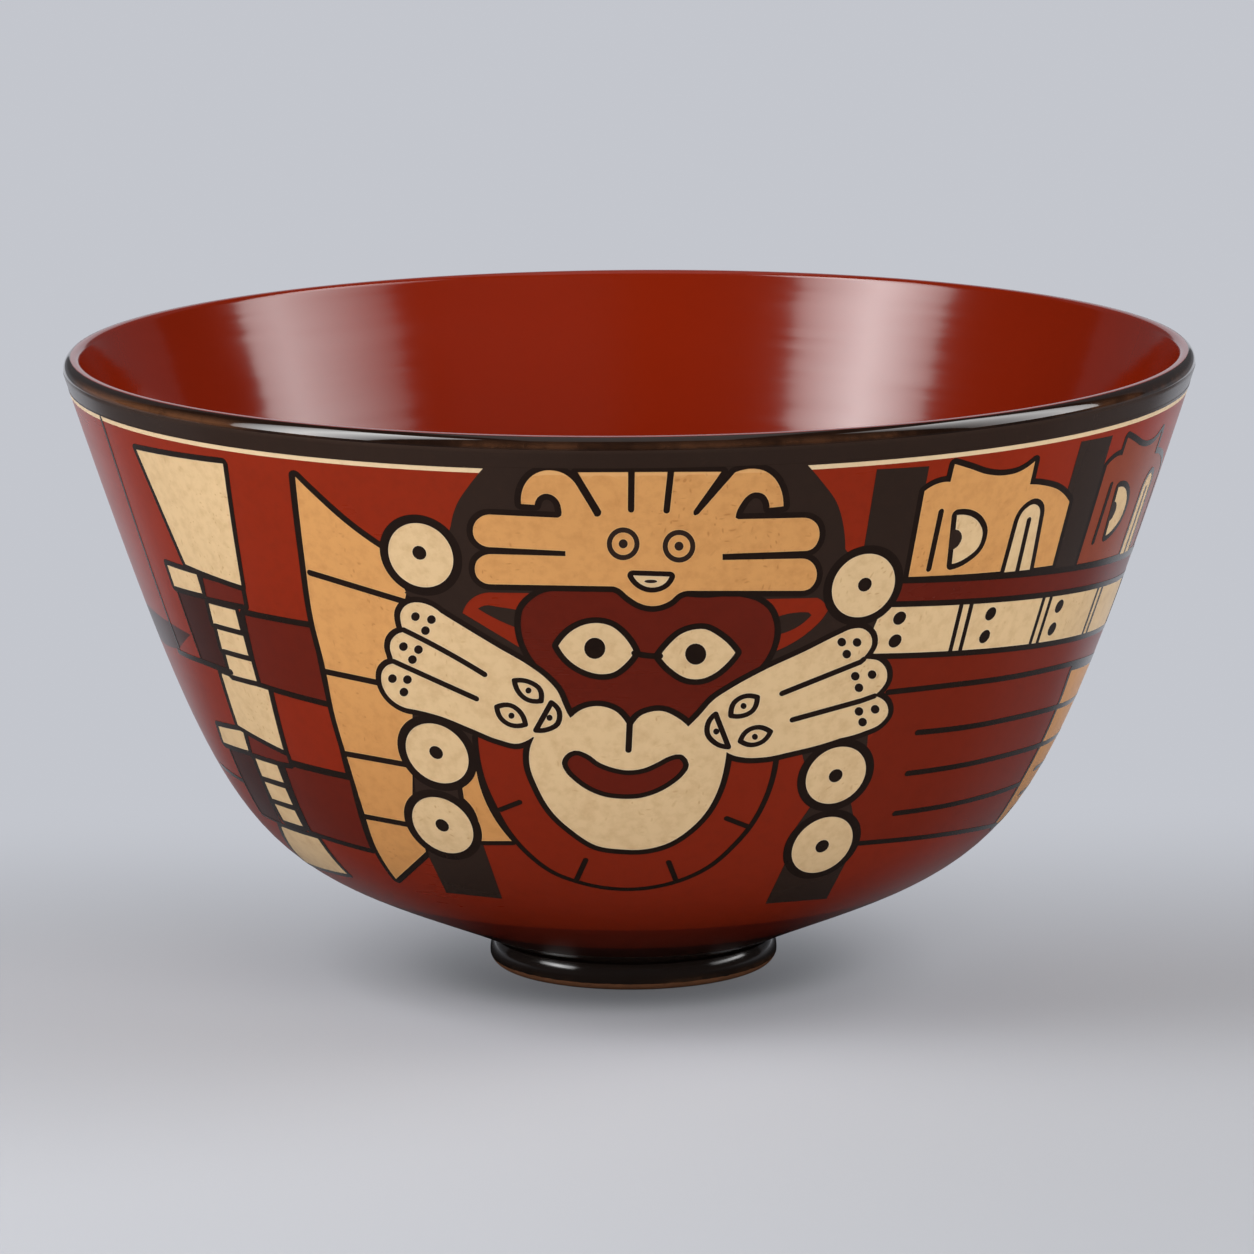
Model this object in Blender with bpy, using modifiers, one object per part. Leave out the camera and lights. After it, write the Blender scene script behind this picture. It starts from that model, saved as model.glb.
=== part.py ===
# Footed earthenware cup: a flared bowl, a rolled lip coil and a turned foot ring, luted together.
# Units are metres and +Z is up. The origin is on the table, under the middle of the foot.
import math

import bpy

# Driving dimensions of the outside
RIM_RADIUS = 0.085
HEIGHT = 0.095
LIP_DROP = 0.0026
LIP_BAND = 0.0053
LIP_EDGE = 0.0008
WALL_FLARE = math.radians(17.7)
WALL_PULL = 0.084
UNDERSIDE_RISE = math.radians(24.3)
BELLY_PULL = 0.043

# Thickness of the clay
WALL = 0.0045
BASE_WALL = 0.0065
FLOOR_DISH = 0.0013

# Foot ring
FOOT_RADIUS = 0.0214
FOOT_HEIGHT = 0.0040
FOOT_WIDTH = 0.0056
FOOT_SHOULDER = 0.0011
FOOT_TOE = 0.0015
FOOT_INNER_EDGE = 0.0006

# Luted joints: a low ridge on one piece sits in a groove of the other
KEY_WIDTH = 0.0014
KEY_HEIGHT = 0.0010
JOINT_GAP = 0.0003

# Fineness of the turned surfaces
SIDES = 64
WALL_STEPS = 12
LIP_STEPS = 5
EDGE_STEPS = 3
MERGE = 0.00001

# Finish of each piece: colour, roughness
BODY_FINISH = ((0.13, 0.030, 0.016), 0.35)
LIP_FINISH = ((0.020, 0.009, 0.006), 0.25)
FOOT_FINISH = ((0.016, 0.010, 0.008), 0.30)

JOINT_Z = HEIGHT - LIP_BAND
SEAT_RADIUS = FOOT_RADIUS - FOOT_SHOULDER
FOOT_BORE = FOOT_RADIUS - FOOT_WIDTH
FOOT_KEY_RADIUS = (SEAT_RADIUS + FOOT_BORE) / 2


def along(start, direction, length):
    return (start[0] + direction[0] * length, start[1] + direction[1] * length)


def steps(count):
    """Shares from 0 to 1 in that many equal steps."""
    return [i / count for i in range(count + 1)]


# The outside of the bowl is one cubic curve, from the widest point of the lip to the edge of the foot
CURVE_TOP = (RIM_RADIUS, HEIGHT - LIP_DROP)
CURVE_FOOT = (SEAT_RADIUS, FOOT_HEIGHT)
CURVE = (
    CURVE_TOP,
    along(CURVE_TOP, (math.sin(WALL_FLARE), math.cos(WALL_FLARE)), -WALL_PULL),
    along(CURVE_FOOT, (math.cos(UNDERSIDE_RISE), math.sin(UNDERSIDE_RISE)), BELLY_PULL),
    CURVE_FOOT,
)


def outer_point(t):
    """Radius and height on the outside, with t from 0 at the lip to 1 at the foot."""
    weights = ((1 - t) ** 3, 3 * t * (1 - t) ** 2, 3 * t * t * (1 - t), t**3)
    return tuple(sum(w * p[axis] for w, p in zip(weights, CURVE)) for axis in (0, 1))


def outer_normal(t):
    weights = ((1 - t) ** 2, 2 * t * (1 - t), t * t)
    slope = [
        sum(w * (CURVE[i + 1][axis] - CURVE[i][axis]) for i, w in enumerate(weights))
        for axis in (0, 1)
    ]
    length = math.hypot(*slope)
    return (-slope[1] / length, slope[0] / length)


def inner_point(t):
    """The inside, square to the outside through the wall, which thickens towards the base."""
    thickness = WALL + (BASE_WALL - WALL) * t * t
    return along(outer_point(t), outer_normal(t), -thickness)


def share_at_height(point, height):
    """The t at which a side of the wall passes that height."""
    low, high = -0.1, 1.0
    for _ in range(50):
        middle = (low + high) / 2
        if point(middle)[1] > height:
            low = middle
        else:
            high = middle
    return (low + high) / 2


def stretch(point, start, end, count):
    return [point(start + (end - start) * share) for share in steps(count)]


def rounded(start, corner, end, count):
    """A corner rounded off from start to end."""
    points = []
    for t in steps(count):
        weights = ((1 - t) ** 2, 2 * t * (1 - t), t * t)
        points.append(tuple(sum(w * p[axis] for w, p in zip(weights, (start, corner, end))) for axis in (0, 1)))
    return points


def quarter(centre, across, up, start_degrees, end_degrees, count):
    """Part of an ellipse, with 0 degrees pointing outwards and 90 up."""
    points = []
    for share in steps(count):
        angle = math.radians(start_degrees + (end_degrees - start_degrees) * share)
        points.append((centre[0] + across * math.cos(angle), centre[1] + up * math.sin(angle)))
    return points


def key_outline(radius, half_width, base, top):
    """The corners of a ridge or groove, from its outer side to its inner side."""
    return [
        (radius + half_width, base),
        (radius + half_width, top),
        (radius - half_width, top),
        (radius - half_width, base),
    ]


OUTER_JOINT = share_at_height(outer_point, JOINT_Z)
INNER_JOINT = share_at_height(inner_point, JOINT_Z)
LIP_KEY_RADIUS = (outer_point(OUTER_JOINT)[0] + inner_point(INNER_JOINT)[0]) / 2


def bowl_profile():
    """From the middle of the floor up the inside, over the ridge under the lip and down the outside."""
    wall_end = inner_point(1)
    corner_reach = FLOOR_DISH / math.tan(UNDERSIDE_RISE)
    floor_z = wall_end[1] - FLOOR_DISH
    floor_corner = (wall_end[0] - corner_reach, floor_z)
    floor_edge = (floor_corner[0] - corner_reach, floor_z)
    ridge = key_outline(LIP_KEY_RADIUS, KEY_WIDTH / 2, JOINT_Z, JOINT_Z + KEY_HEIGHT)
    groove = key_outline(
        FOOT_KEY_RADIUS, KEY_WIDTH / 2 + JOINT_GAP, FOOT_HEIGHT, FOOT_HEIGHT + KEY_HEIGHT
    )
    return (
        [(0, floor_z)]
        + rounded(floor_edge, floor_corner, wall_end, EDGE_STEPS)[:-1]
        + stretch(inner_point, 1, INNER_JOINT, WALL_STEPS)
        + ridge[::-1]
        + stretch(outer_point, OUTER_JOINT, 1, WALL_STEPS)
        + groove
        + [(0, FOOT_HEIGHT)]
    )


def lip_profile():
    """From the crest over the rolled shoulder, down to the joint and back up the inside."""
    base = JOINT_Z + JOINT_GAP
    outer_base = share_at_height(outer_point, base)
    inner_base = inner_point(share_at_height(inner_point, base))
    flare = (math.sin(WALL_FLARE), math.cos(WALL_FLARE))
    edge_corner = along(inner_point(0), flare, (HEIGHT - inner_point(0)[1]) / flare[1])
    edge_start = along(edge_corner, flare, -LIP_EDGE)
    crest = (edge_corner[0] + LIP_EDGE, HEIGHT)
    shoulder = quarter((crest[0], CURVE_TOP[1]), RIM_RADIUS - crest[0], LIP_DROP, 90, 0, LIP_STEPS)
    groove = key_outline(LIP_KEY_RADIUS, KEY_WIDTH / 2 + JOINT_GAP, base, base + KEY_HEIGHT)
    return (
        shoulder
        + [outer_point(outer_base)]
        + groove
        + [inner_base]
        + rounded(edge_start, edge_corner, crest, EDGE_STEPS)[:-1]
    )


def foot_profile():
    """From the top of the seat over the rounded outside to the toe, and up the bore."""
    top = FOOT_HEIGHT - JOINT_GAP
    shoulder = quarter((SEAT_RADIUS, top - FOOT_SHOULDER), FOOT_SHOULDER, FOOT_SHOULDER, 90, 0, EDGE_STEPS)
    toe = quarter((FOOT_RADIUS - FOOT_TOE, FOOT_TOE), FOOT_TOE, FOOT_TOE, 0, -90, EDGE_STEPS)
    inner_edge = [(FOOT_BORE + FOOT_INNER_EDGE, 0), (FOOT_BORE, FOOT_INNER_EDGE)]
    ridge = key_outline(FOOT_KEY_RADIUS, KEY_WIDTH / 2, top, top + KEY_HEIGHT)
    return shoulder + toe + inner_edge + [(FOOT_BORE, top)] + ridge[::-1]


def material(name, finish):
    colour, roughness = finish
    slip = bpy.data.materials.new(name)
    slip.use_nodes = True
    shader = slip.node_tree.nodes["Principled BSDF"]
    shader.inputs["Base Color"].default_value = (*colour, 1)
    shader.inputs["Roughness"].default_value = roughness
    shader.inputs["Metallic"].default_value = 0
    return slip


def turned(name, profile, closed, finish, collection):
    """A piece turned about the Z axis. A closed profile makes a ring."""
    edges = [(i, i + 1) for i in range(len(profile) - 1)]
    if closed:
        edges.append((len(profile) - 1, 0))
    mesh = bpy.data.meshes.new(name)
    mesh.from_pydata([(radius, 0, height) for radius, height in profile], edges, [])
    piece = bpy.data.objects.new(name, mesh)
    collection.objects.link(piece)
    screw = piece.modifiers.new("turned", "SCREW")
    screw.axis = "Z"
    screw.angle = math.tau
    screw.steps = SIDES
    screw.render_steps = SIDES
    screw.use_merge_vertices = True
    screw.merge_threshold = MERGE
    screw.use_smooth_shade = True
    mesh.materials.append(material(f"{name}_slip", finish))
    return piece


for old in list(bpy.data.objects):
    bpy.data.objects.remove(old)

cup = bpy.data.collections.new("footed_cup")
bpy.context.scene.collection.children.link(cup)
turned("bowl_body", bowl_profile(), False, BODY_FINISH, cup)
turned("rim_coil", lip_profile(), True, LIP_FINISH, cup)
turned("foot_ring", foot_profile(), True, FOOT_FINISH, cup)
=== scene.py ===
# Footed painted cup: turned clay, a burnished inside, and slip paint laid on the wall as thin coats
import math

import bmesh
import bpy
import numpy as np
from mathutils import Matrix, Vector
from mathutils.geometry import delaunay_2d_cdt
from mathutils.kdtree import KDTree


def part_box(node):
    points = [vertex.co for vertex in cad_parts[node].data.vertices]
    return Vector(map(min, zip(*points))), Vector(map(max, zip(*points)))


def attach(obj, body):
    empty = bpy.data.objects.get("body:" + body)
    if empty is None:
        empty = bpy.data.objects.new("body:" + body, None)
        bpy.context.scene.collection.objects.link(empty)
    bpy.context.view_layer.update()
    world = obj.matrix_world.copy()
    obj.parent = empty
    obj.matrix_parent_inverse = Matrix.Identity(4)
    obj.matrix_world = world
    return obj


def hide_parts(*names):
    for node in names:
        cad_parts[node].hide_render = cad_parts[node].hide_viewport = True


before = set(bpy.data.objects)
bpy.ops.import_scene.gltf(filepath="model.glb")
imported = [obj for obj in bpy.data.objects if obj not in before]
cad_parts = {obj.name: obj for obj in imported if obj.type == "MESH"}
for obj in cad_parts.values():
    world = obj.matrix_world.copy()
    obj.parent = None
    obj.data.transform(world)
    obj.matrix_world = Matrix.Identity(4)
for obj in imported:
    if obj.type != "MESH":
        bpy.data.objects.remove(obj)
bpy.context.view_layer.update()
print("frame loaded")

# Form of the cup, from the frame where it has the size
bowlLow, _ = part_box("bowl_body")
_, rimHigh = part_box("rim_coil")
_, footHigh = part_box("foot_ring")

cupForm = {
    "rimRadius": rimHigh.x,
    "height": rimHigh.z,
    "lipDrop": 0.0026,                  # top of the frame's lip down to the widest point
    "crestDrop": 0.00045,               # the painted crest lies this far under it
    "beadHigh": 0.0018,                 # glossy bead, crest down to its crease
    "lipEdge": 0.0008,                  # rounding on the inside of the lip
    "lipWall": 0.00286,                 # the wall thins to this at the lip
    "lipTaper": 0.25,                   # over this share of its line
    "flare": math.radians(17.7),
    "wallPull": 0.084,
    "undersideRise": math.radians(24.3),
    "bellyPull": 0.043,
    "wall": 0.0045,
    "baseWall": 0.0065,
    "floorDish": 0.0013,
    "seatHeight": bowlLow.z,
    "seatRadius": footHigh.x - 0.0011,  # inside the foot's round shoulder
    "wallSamples": 1600,
}

# Camera of the photo, fitted to the cup's outline
photoView = {
    "side": 1254,                       # photo pixels
    "focal": 6846.0,                    # photo pixels
    "place": (-0.00063, -1.02, 0.2481),
    "pitch": 0.1904,                    # radians down
    "roll": -0.0075,
    "sensor": 36.0,
    "clip": (0.05, 20),
}


def cubicPoint(points, t):
    a, b, c, d = (np.array(p) for p in points)
    t = np.asarray(t, float)[:, None]
    return (1 - t) ** 3 * a + 3 * t * (1 - t) ** 2 * b + 3 * t * t * (1 - t) * c + t ** 3 * d


def outerCurve():
    form = cupForm
    top = np.array((form["rimRadius"], form["height"] - form["lipDrop"]))
    foot = np.array((form["seatRadius"], form["seatHeight"]))
    down = -np.array((math.sin(form["flare"]), math.cos(form["flare"])))
    out = np.array((math.cos(form["undersideRise"]), math.sin(form["undersideRise"])))
    return top, top + down * form["wallPull"], foot + out * form["bellyPull"], foot


wallShare = np.linspace(0, 1, cupForm["wallSamples"] + 1)
wallLine = cubicPoint(outerCurve(), wallShare)
wallSlope = np.gradient(wallLine, wallShare, axis=0)
wallSlope /= np.linalg.norm(wallSlope, axis=1)[:, None]
wallNormal = np.column_stack((-wallSlope[:, 1], wallSlope[:, 0]))
wallDown = np.concatenate(([0], np.cumsum(np.linalg.norm(np.diff(wallLine, axis=0), axis=1))))
wallLength = wallDown[-1]


def radiusAt(down):
    return np.interp(down, wallDown, wallLine[:, 0])


def wallPoints(angle, down, lift):
    radius, height = (np.interp(down, wallDown, wallLine[:, k]) for k in (0, 1))
    outward, upward = (np.interp(down, wallDown, wallNormal[:, k]) for k in (0, 1))
    radius = radius + lift * outward
    turned = np.column_stack((np.sin(angle), -np.cos(angle)))
    places = np.column_stack((turned * radius[:, None], height + lift * upward))
    normals = np.column_stack((turned * outward[:, None], upward))
    return places, normals


# Photo pixels onto the wall
rayReach = {"near": 0.90, "far": 1.09, "steps": 380, "halvings": 30, "overLip": 0.004}


def onWall(pixels):
    view = photoView
    offset = np.asarray(pixels, float) - (view["side"] - 1) / 2
    cosRoll, sinRoll = math.cos(view["roll"]), math.sin(view["roll"])
    across = (offset[:, 0] * cosRoll + offset[:, 1] * sinRoll) / view["focal"]
    below = (offset[:, 1] * cosRoll - offset[:, 0] * sinRoll) / view["focal"]
    cosPitch, sinPitch = math.cos(view["pitch"]), math.sin(view["pitch"])
    ray = np.column_stack((across, cosPitch - below * sinPitch, -sinPitch - below * cosPitch))
    eye = np.array(view["place"])
    over = rayReach["overLip"]
    heights = np.concatenate((wallLine[::-1, 1], [wallLine[0, 1] + over]))
    radii = np.concatenate((wallLine[::-1, 0], [wallLine[0, 0] + over * math.tan(cupForm["flare"])]))
    downs = np.concatenate((wallDown[::-1], [-over / math.cos(cupForm["flare"])]))

    def outside(distance):
        place = eye + ray * distance[:, None]
        return np.hypot(place[:, 0], place[:, 1]) - np.interp(place[:, 2], heights, radii)

    steps = np.linspace(rayReach["near"], rayReach["far"], rayReach["steps"])
    clear = np.stack([outside(np.full(len(ray), step)) for step in steps])
    hit = clear < 0
    first = np.where(hit.any(0), hit.argmax(0), clear.argmin(0))
    far = steps[first]
    near = np.where(hit.any(0), steps[np.maximum(first - 1, 0)], far)
    for _ in range(rayReach["halvings"]):
        middle = (near + far) / 2
        inWall = outside(middle) < 0
        far = np.where(inWall, middle, far)
        near = np.where(inWall, near, middle)
    place = eye + ray * far[:, None]
    angle = np.arctan2(place[:, 0], -place[:, 1])
    return np.column_stack((angle, np.interp(place[:, 2], heights, downs)))


# Outlines: a tuple is a corner, a list is a bend through its points
traceStep = {"photo": 4.0, "wall": 0.0006, "dotSides": 18, "leastSides": 14, "sidesForPixel": 2}


def smoothLine(points, closed, step):
    points = np.array(points, float)
    if closed:
        points = np.vstack((points[-1:], points, points[:2]))
    gaps = np.linalg.norm(np.diff(points, axis=0), axis=1)[:, None]
    slopes = np.diff(points, axis=0) / gaps
    tangents = (slopes[:-1] * gaps[1:] + slopes[1:] * gaps[:-1]) / (gaps[:-1] + gaps[1:])
    if closed:
        points, gaps = points[1:-1], gaps[1:-1]
    elif len(points) == 2:
        tangents = np.vstack((slopes, slopes))
    else:
        tangents = np.vstack((2 * slopes[0] - tangents[0], tangents, 2 * slopes[-1] - tangents[-1]))
    line = []
    for i, gap in enumerate(gaps[:, 0]):
        t = np.linspace(0, 1, max(1, math.ceil(gap / step)), endpoint=False)[:, None]
        line.append(
            (2 * t ** 3 - 3 * t * t + 1) * points[i] + (3 * t * t - 2 * t ** 3) * points[i + 1]
            + ((t ** 3 - 2 * t * t + t) * tangents[i] + (t ** 3 - t * t) * tangents[i + 1]) * gap
        )
    if not closed:
        line.append(points[-1:])
    return np.vstack(line)


def tracedPath(parts, step):
    lines, run = [], []
    for part in parts:
        if isinstance(part, list):
            run += part
            continue
        run.append(part)
        if len(run) > 1:
            lines.append(smoothLine(run, False, step)[:-1])
        run = [part]
    if len(run) > 1:
        lines.append(smoothLine(run, False, step)[:-1])
    return np.vstack(lines + [np.array([run[-1]], float)])


def tracedLoop(parts, step):
    corners = [i for i, part in enumerate(parts) if isinstance(part, tuple)]
    if not corners:
        return smoothLine(parts[0], True, step)
    turned = parts[corners[0]:] + parts[:corners[0] + 1]
    return tracedPath(turned, step)[:-1]


def photoLoop(parts):
    return onWall(tracedLoop(parts, traceStep["photo"]))


def photoPath(parts):
    return onWall(tracedPath(parts, traceStep["photo"]))


# Places on the wall itself are degrees round from the front and millimetres down from the widest point
def fromDegrees(points):
    return np.radians(points[:, 0]), points[:, 1] / 1000


def wallScaled(parts):
    size = 1000 * cupForm["rimRadius"] * math.pi / 180     # millimetres for a degree at the rim
    scale = np.array((size, 1.0))

    def scaled(part):
        return [scaled(p) for p in part] if isinstance(part, list) else tuple(np.array(part) * scale)

    return [scaled(part) for part in parts], scale


def wallLoop(parts):
    scaled, scale = wallScaled(parts)
    return np.column_stack(fromDegrees(tracedLoop(scaled, 1000 * traceStep["wall"]) / scale))


def wallPath(parts):
    scaled, scale = wallScaled(parts)
    return np.column_stack(fromDegrees(tracedPath(scaled, 1000 * traceStep["wall"]) / scale))


def wallRound(centre, radius):
    angle = np.linspace(0, math.tau, traceStep["dotSides"], endpoint=False)
    size = 1000 * radiusAt(centre[1] / 1000) * math.pi / 180
    across, down = radius / size * np.cos(angle), radius * np.sin(angle)
    return np.column_stack(fromDegrees(np.column_stack((centre[0] + across, centre[1] + down))))


def roundLoop(centre, across, high=None, turn=0.0):
    high = high or across
    sides = max(traceStep["leastSides"], int(traceStep["sidesForPixel"] * across))
    angle = np.linspace(0, math.tau, sides, endpoint=False)
    x, y = across * np.cos(angle), high * np.sin(angle)
    cosTurn, sinTurn = math.cos(turn), math.sin(turn)
    turnedX = centre[0] + x * cosTurn - y * sinTurn
    turnedY = centre[1] + x * sinTurn + y * cosTurn
    return onWall(np.column_stack((turnedX, turnedY)))


# Brush: widths are real sizes on the wall
brush = {
    "hair": 0.00070,
    "fine": 0.00080,
    "line": 0.00092,
    "bold": 0.00100,
    "disc": 0.00134,
    "halo": 0.00016,                    # pale rim of a light coat beside a dark line
    "joinStep": 0.35,                   # radians between points of a round join
    "gentleTurn": 0.3,                  # a bend under this many radians takes one point
    "turnBack": 3.0,                    # and one over this is the end of a stroke
    "samePlace": 1e-7,
}
coats = []                              # slip and loop, each over the ones before it
haloLines = []                          # cuts beside their edges, where a pale rim ends


def widen(loop, reach, isStroke=False):
    scale = np.array((radiusAt(loop[:, 1].mean()), 1.0))
    flat = loop * scale
    flat = flat[np.linalg.norm(flat - np.roll(flat, 1, 0), axis=1) > brush["samePlace"]]
    following = np.roll(flat, -1, 0)
    runsBack = np.sum(flat[:, 0] * following[:, 1] - flat[:, 1] * following[:, 0]) < 0
    if runsBack and not isStroke:
        flat = flat[::-1]
    ahead = np.roll(flat, -1, 0) - flat
    ahead /= np.linalg.norm(ahead, axis=1)[:, None]
    side = np.column_stack((ahead[:, 1], -ahead[:, 0]))
    before = np.roll(side, 1, 0)
    crossed = before[:, 0] * side[:, 1] - before[:, 1] * side[:, 0]
    turns = np.arctan2(crossed, np.sum(before * side, axis=1))
    wide = []
    for place, old, new, turn in zip(flat, before, side, turns):
        turn = abs(turn) if abs(turn) > brush["turnBack"] else turn
        if abs(turn) < brush["gentleTurn"]:
            wide.append(place + (old + new) / np.linalg.norm(old + new) * reach)
        elif turn * reach < 0:
            wide += [place + old * reach, place + new * reach]
        else:
            start = math.atan2(old[1], old[0])
            count = max(2, math.ceil(abs(turn) / brush["joinStep"]))
            for k in range(count + 1):
                angle = start + turn * k / count
                wide.append(place + reach * np.array((math.cos(angle), math.sin(angle))))
    return np.array(wide) / scale


def fill(slip, loops, line=0):
    loops = loops if isinstance(loops, list) else [loops]
    if line:
        coats.extend(("ink", widen(loop, line)) for loop in loops)
    coats.extend((slip, loop) for loop in loops)
    haloLines.extend(widen(loop, line + brush["halo"]) for loop in loops)
    if slip in ("cream", "tan"):
        haloLines.extend(widen(loop, -brush["halo"]) for loop in loops)


def stroke(path, width):
    thereAndBack = np.vstack((path, path[-2:0:-1]))
    coats.append(("ink", widen(thereAndBack, width / 2, isStroke=True)))
    haloLines.append(widen(thereAndBack, width / 2 + brush["halo"], isStroke=True))


def dots(places, radius):
    for place in places:
        fill("ink", roundLoop(place, radius))


# Left streamer: pale kites and squares beside dark blocks
leftStreamer = {
    "kites": [
        [(-59.3, 6.3), (-44.0, 5.5), (-46.5, 25.4), (-56.4, 24.0)],
        [(-56.7, 41.9), (-47.5, 42.7), (-48.7, 53.1), (-57.6, 50.8)],
        [(-60.6, 69.8), (-50.7, 69.8), (-50.6, 77.9), (-67.9, 80.0)],
    ],
    "beads": [
        [(-61.2, 25.2), (-54.6, 25.3), (-54.7, 28.4), (-61.2, 28.6)],
        [(-64.4, 52.6), (-56.9, 51.7), (-57.6, 55.2), (-65.3, 55.6)],
    ],
    "pads": [
        [(-53.5, 25.6), (-46.7, 25.9), (-47.0, 28.6), (-54.0, 28.7)],
        [(-55.9, 51.9), (-48.5, 53.9), (-48.6, 55.4), (-57.0, 55.8)],
    ],
    "blocks": [
        ("maroon", [(-47.5, 30.4), (-37.3, 30.6), (-37.9, 42.8), (-48.6, 41.7)]),
        ("scarlet", [(-46.6, 42.9), (-37.6, 43.8), (-38.4, 55.1), (-47.9, 54.6)]),
        ("maroon", [(-49.8, 55.8), (-38.1, 56.3), (-39.6, 69.4), (-51.2, 68.4)]),
    ],
    "columns": [
        [(-60.7, 29.2), (-53.9, 29.3), (-54.7, 41.2), (-60.8, 41.0)],
        [(-63.7, 55.7), (-56.8, 55.4), (-59.7, 68.9), (-66.0, 68.7)],
    ],
    "squareRows": [(-54.0, 29.8, 3.4, 4.2), (-56.6, 56.3, 3.2, 4.2)],   # left edge, top, height, step
    "squareCount": 3,
    "squareWidth": 5.0,
    "squareLean": (0.0, 0.5),           # degrees that each square steps to the left
    "squareSkew": (0.1, 0.2, 0.4),      # right side down, and the lower corners to the left
    "thread": [(-66.5, 2.9), (-67.6, 40.2)],
    "pennant": [
        (-82.1, 36.1), [(-70.0, 36.0)], (-61.6, 36.7), (-67.8, 40.5), [(-75.0, 41.6)], (-81.8, 42.0),
    ],
    "underline": [(-68.5, 41.1), (-59.0, 40.9), (-54.1, 41.1)],
    "tick": [(-75.0, 62.0), (-65.5, 62.4)],
}


def paintLeftStreamer():
    part = leftStreamer
    fill("umber", wallLoop(part["pennant"]))
    stroke(wallPath(part["thread"]), brush["hair"])
    for column in part["columns"]:
        fill("umber", wallLoop(column), brush["fine"] / 2)
    for slip, block in part["blocks"]:
        fill(slip, wallLoop(block), brush["bold"])
    for pad in part["pads"]:
        fill("maroon", wallLoop(pad), brush["line"])
    for shape in part["beads"] + part["kites"]:
        fill("cream", wallLoop(shape), brush["line"])
    drop, tuck, spread = part["squareSkew"]
    for (left, top, high, step), lean in zip(part["squareRows"], part["squareLean"]):
        for k in range(part["squareCount"]):
            x, y = left - lean * k, top + step * k
            right, low = x + part["squareWidth"], y + high
            square = [(x, y), (right, y + drop), (right - tuck, low), (x - spread, low)]
            fill("cream", wallLoop(square), brush["line"])
    stroke(wallPath(part["underline"]), brush["line"])
    stroke(wallPath(part["tick"]), brush["fine"])


# Fan of tan feathers at the left of the figure, in photo pixels
fan = {
    "outline": [
        (294.7, 476), [(317.4, 498.1), (346.2, 523.6)], (380, 548), (406, 592), (395, 640), (412, 710),
        (412, 800), (425.5, 851), (395.5, 878.4),
        [(377, 849.7), (362.5, 808.2), (349.7, 766.7), (333.8, 712.5), (324.2, 664.7), (313.1, 620),
         (303.5, 553.1)],
    ],
    "quills": [
        [(309.5, 572.2), (403.6, 600.9)], [(325.4, 671.1), (378, 682.2)],
        [(346.1, 753.3), (406.7, 764.2)], [(365.3, 816.1), (408.3, 824.1)],
    ],
}


def paintFan():
    fill("tan", photoLoop(fan["outline"]), brush["bold"])
    for quill in fan["quills"]:
        stroke(photoPath(quill), brush["bold"])


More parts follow.
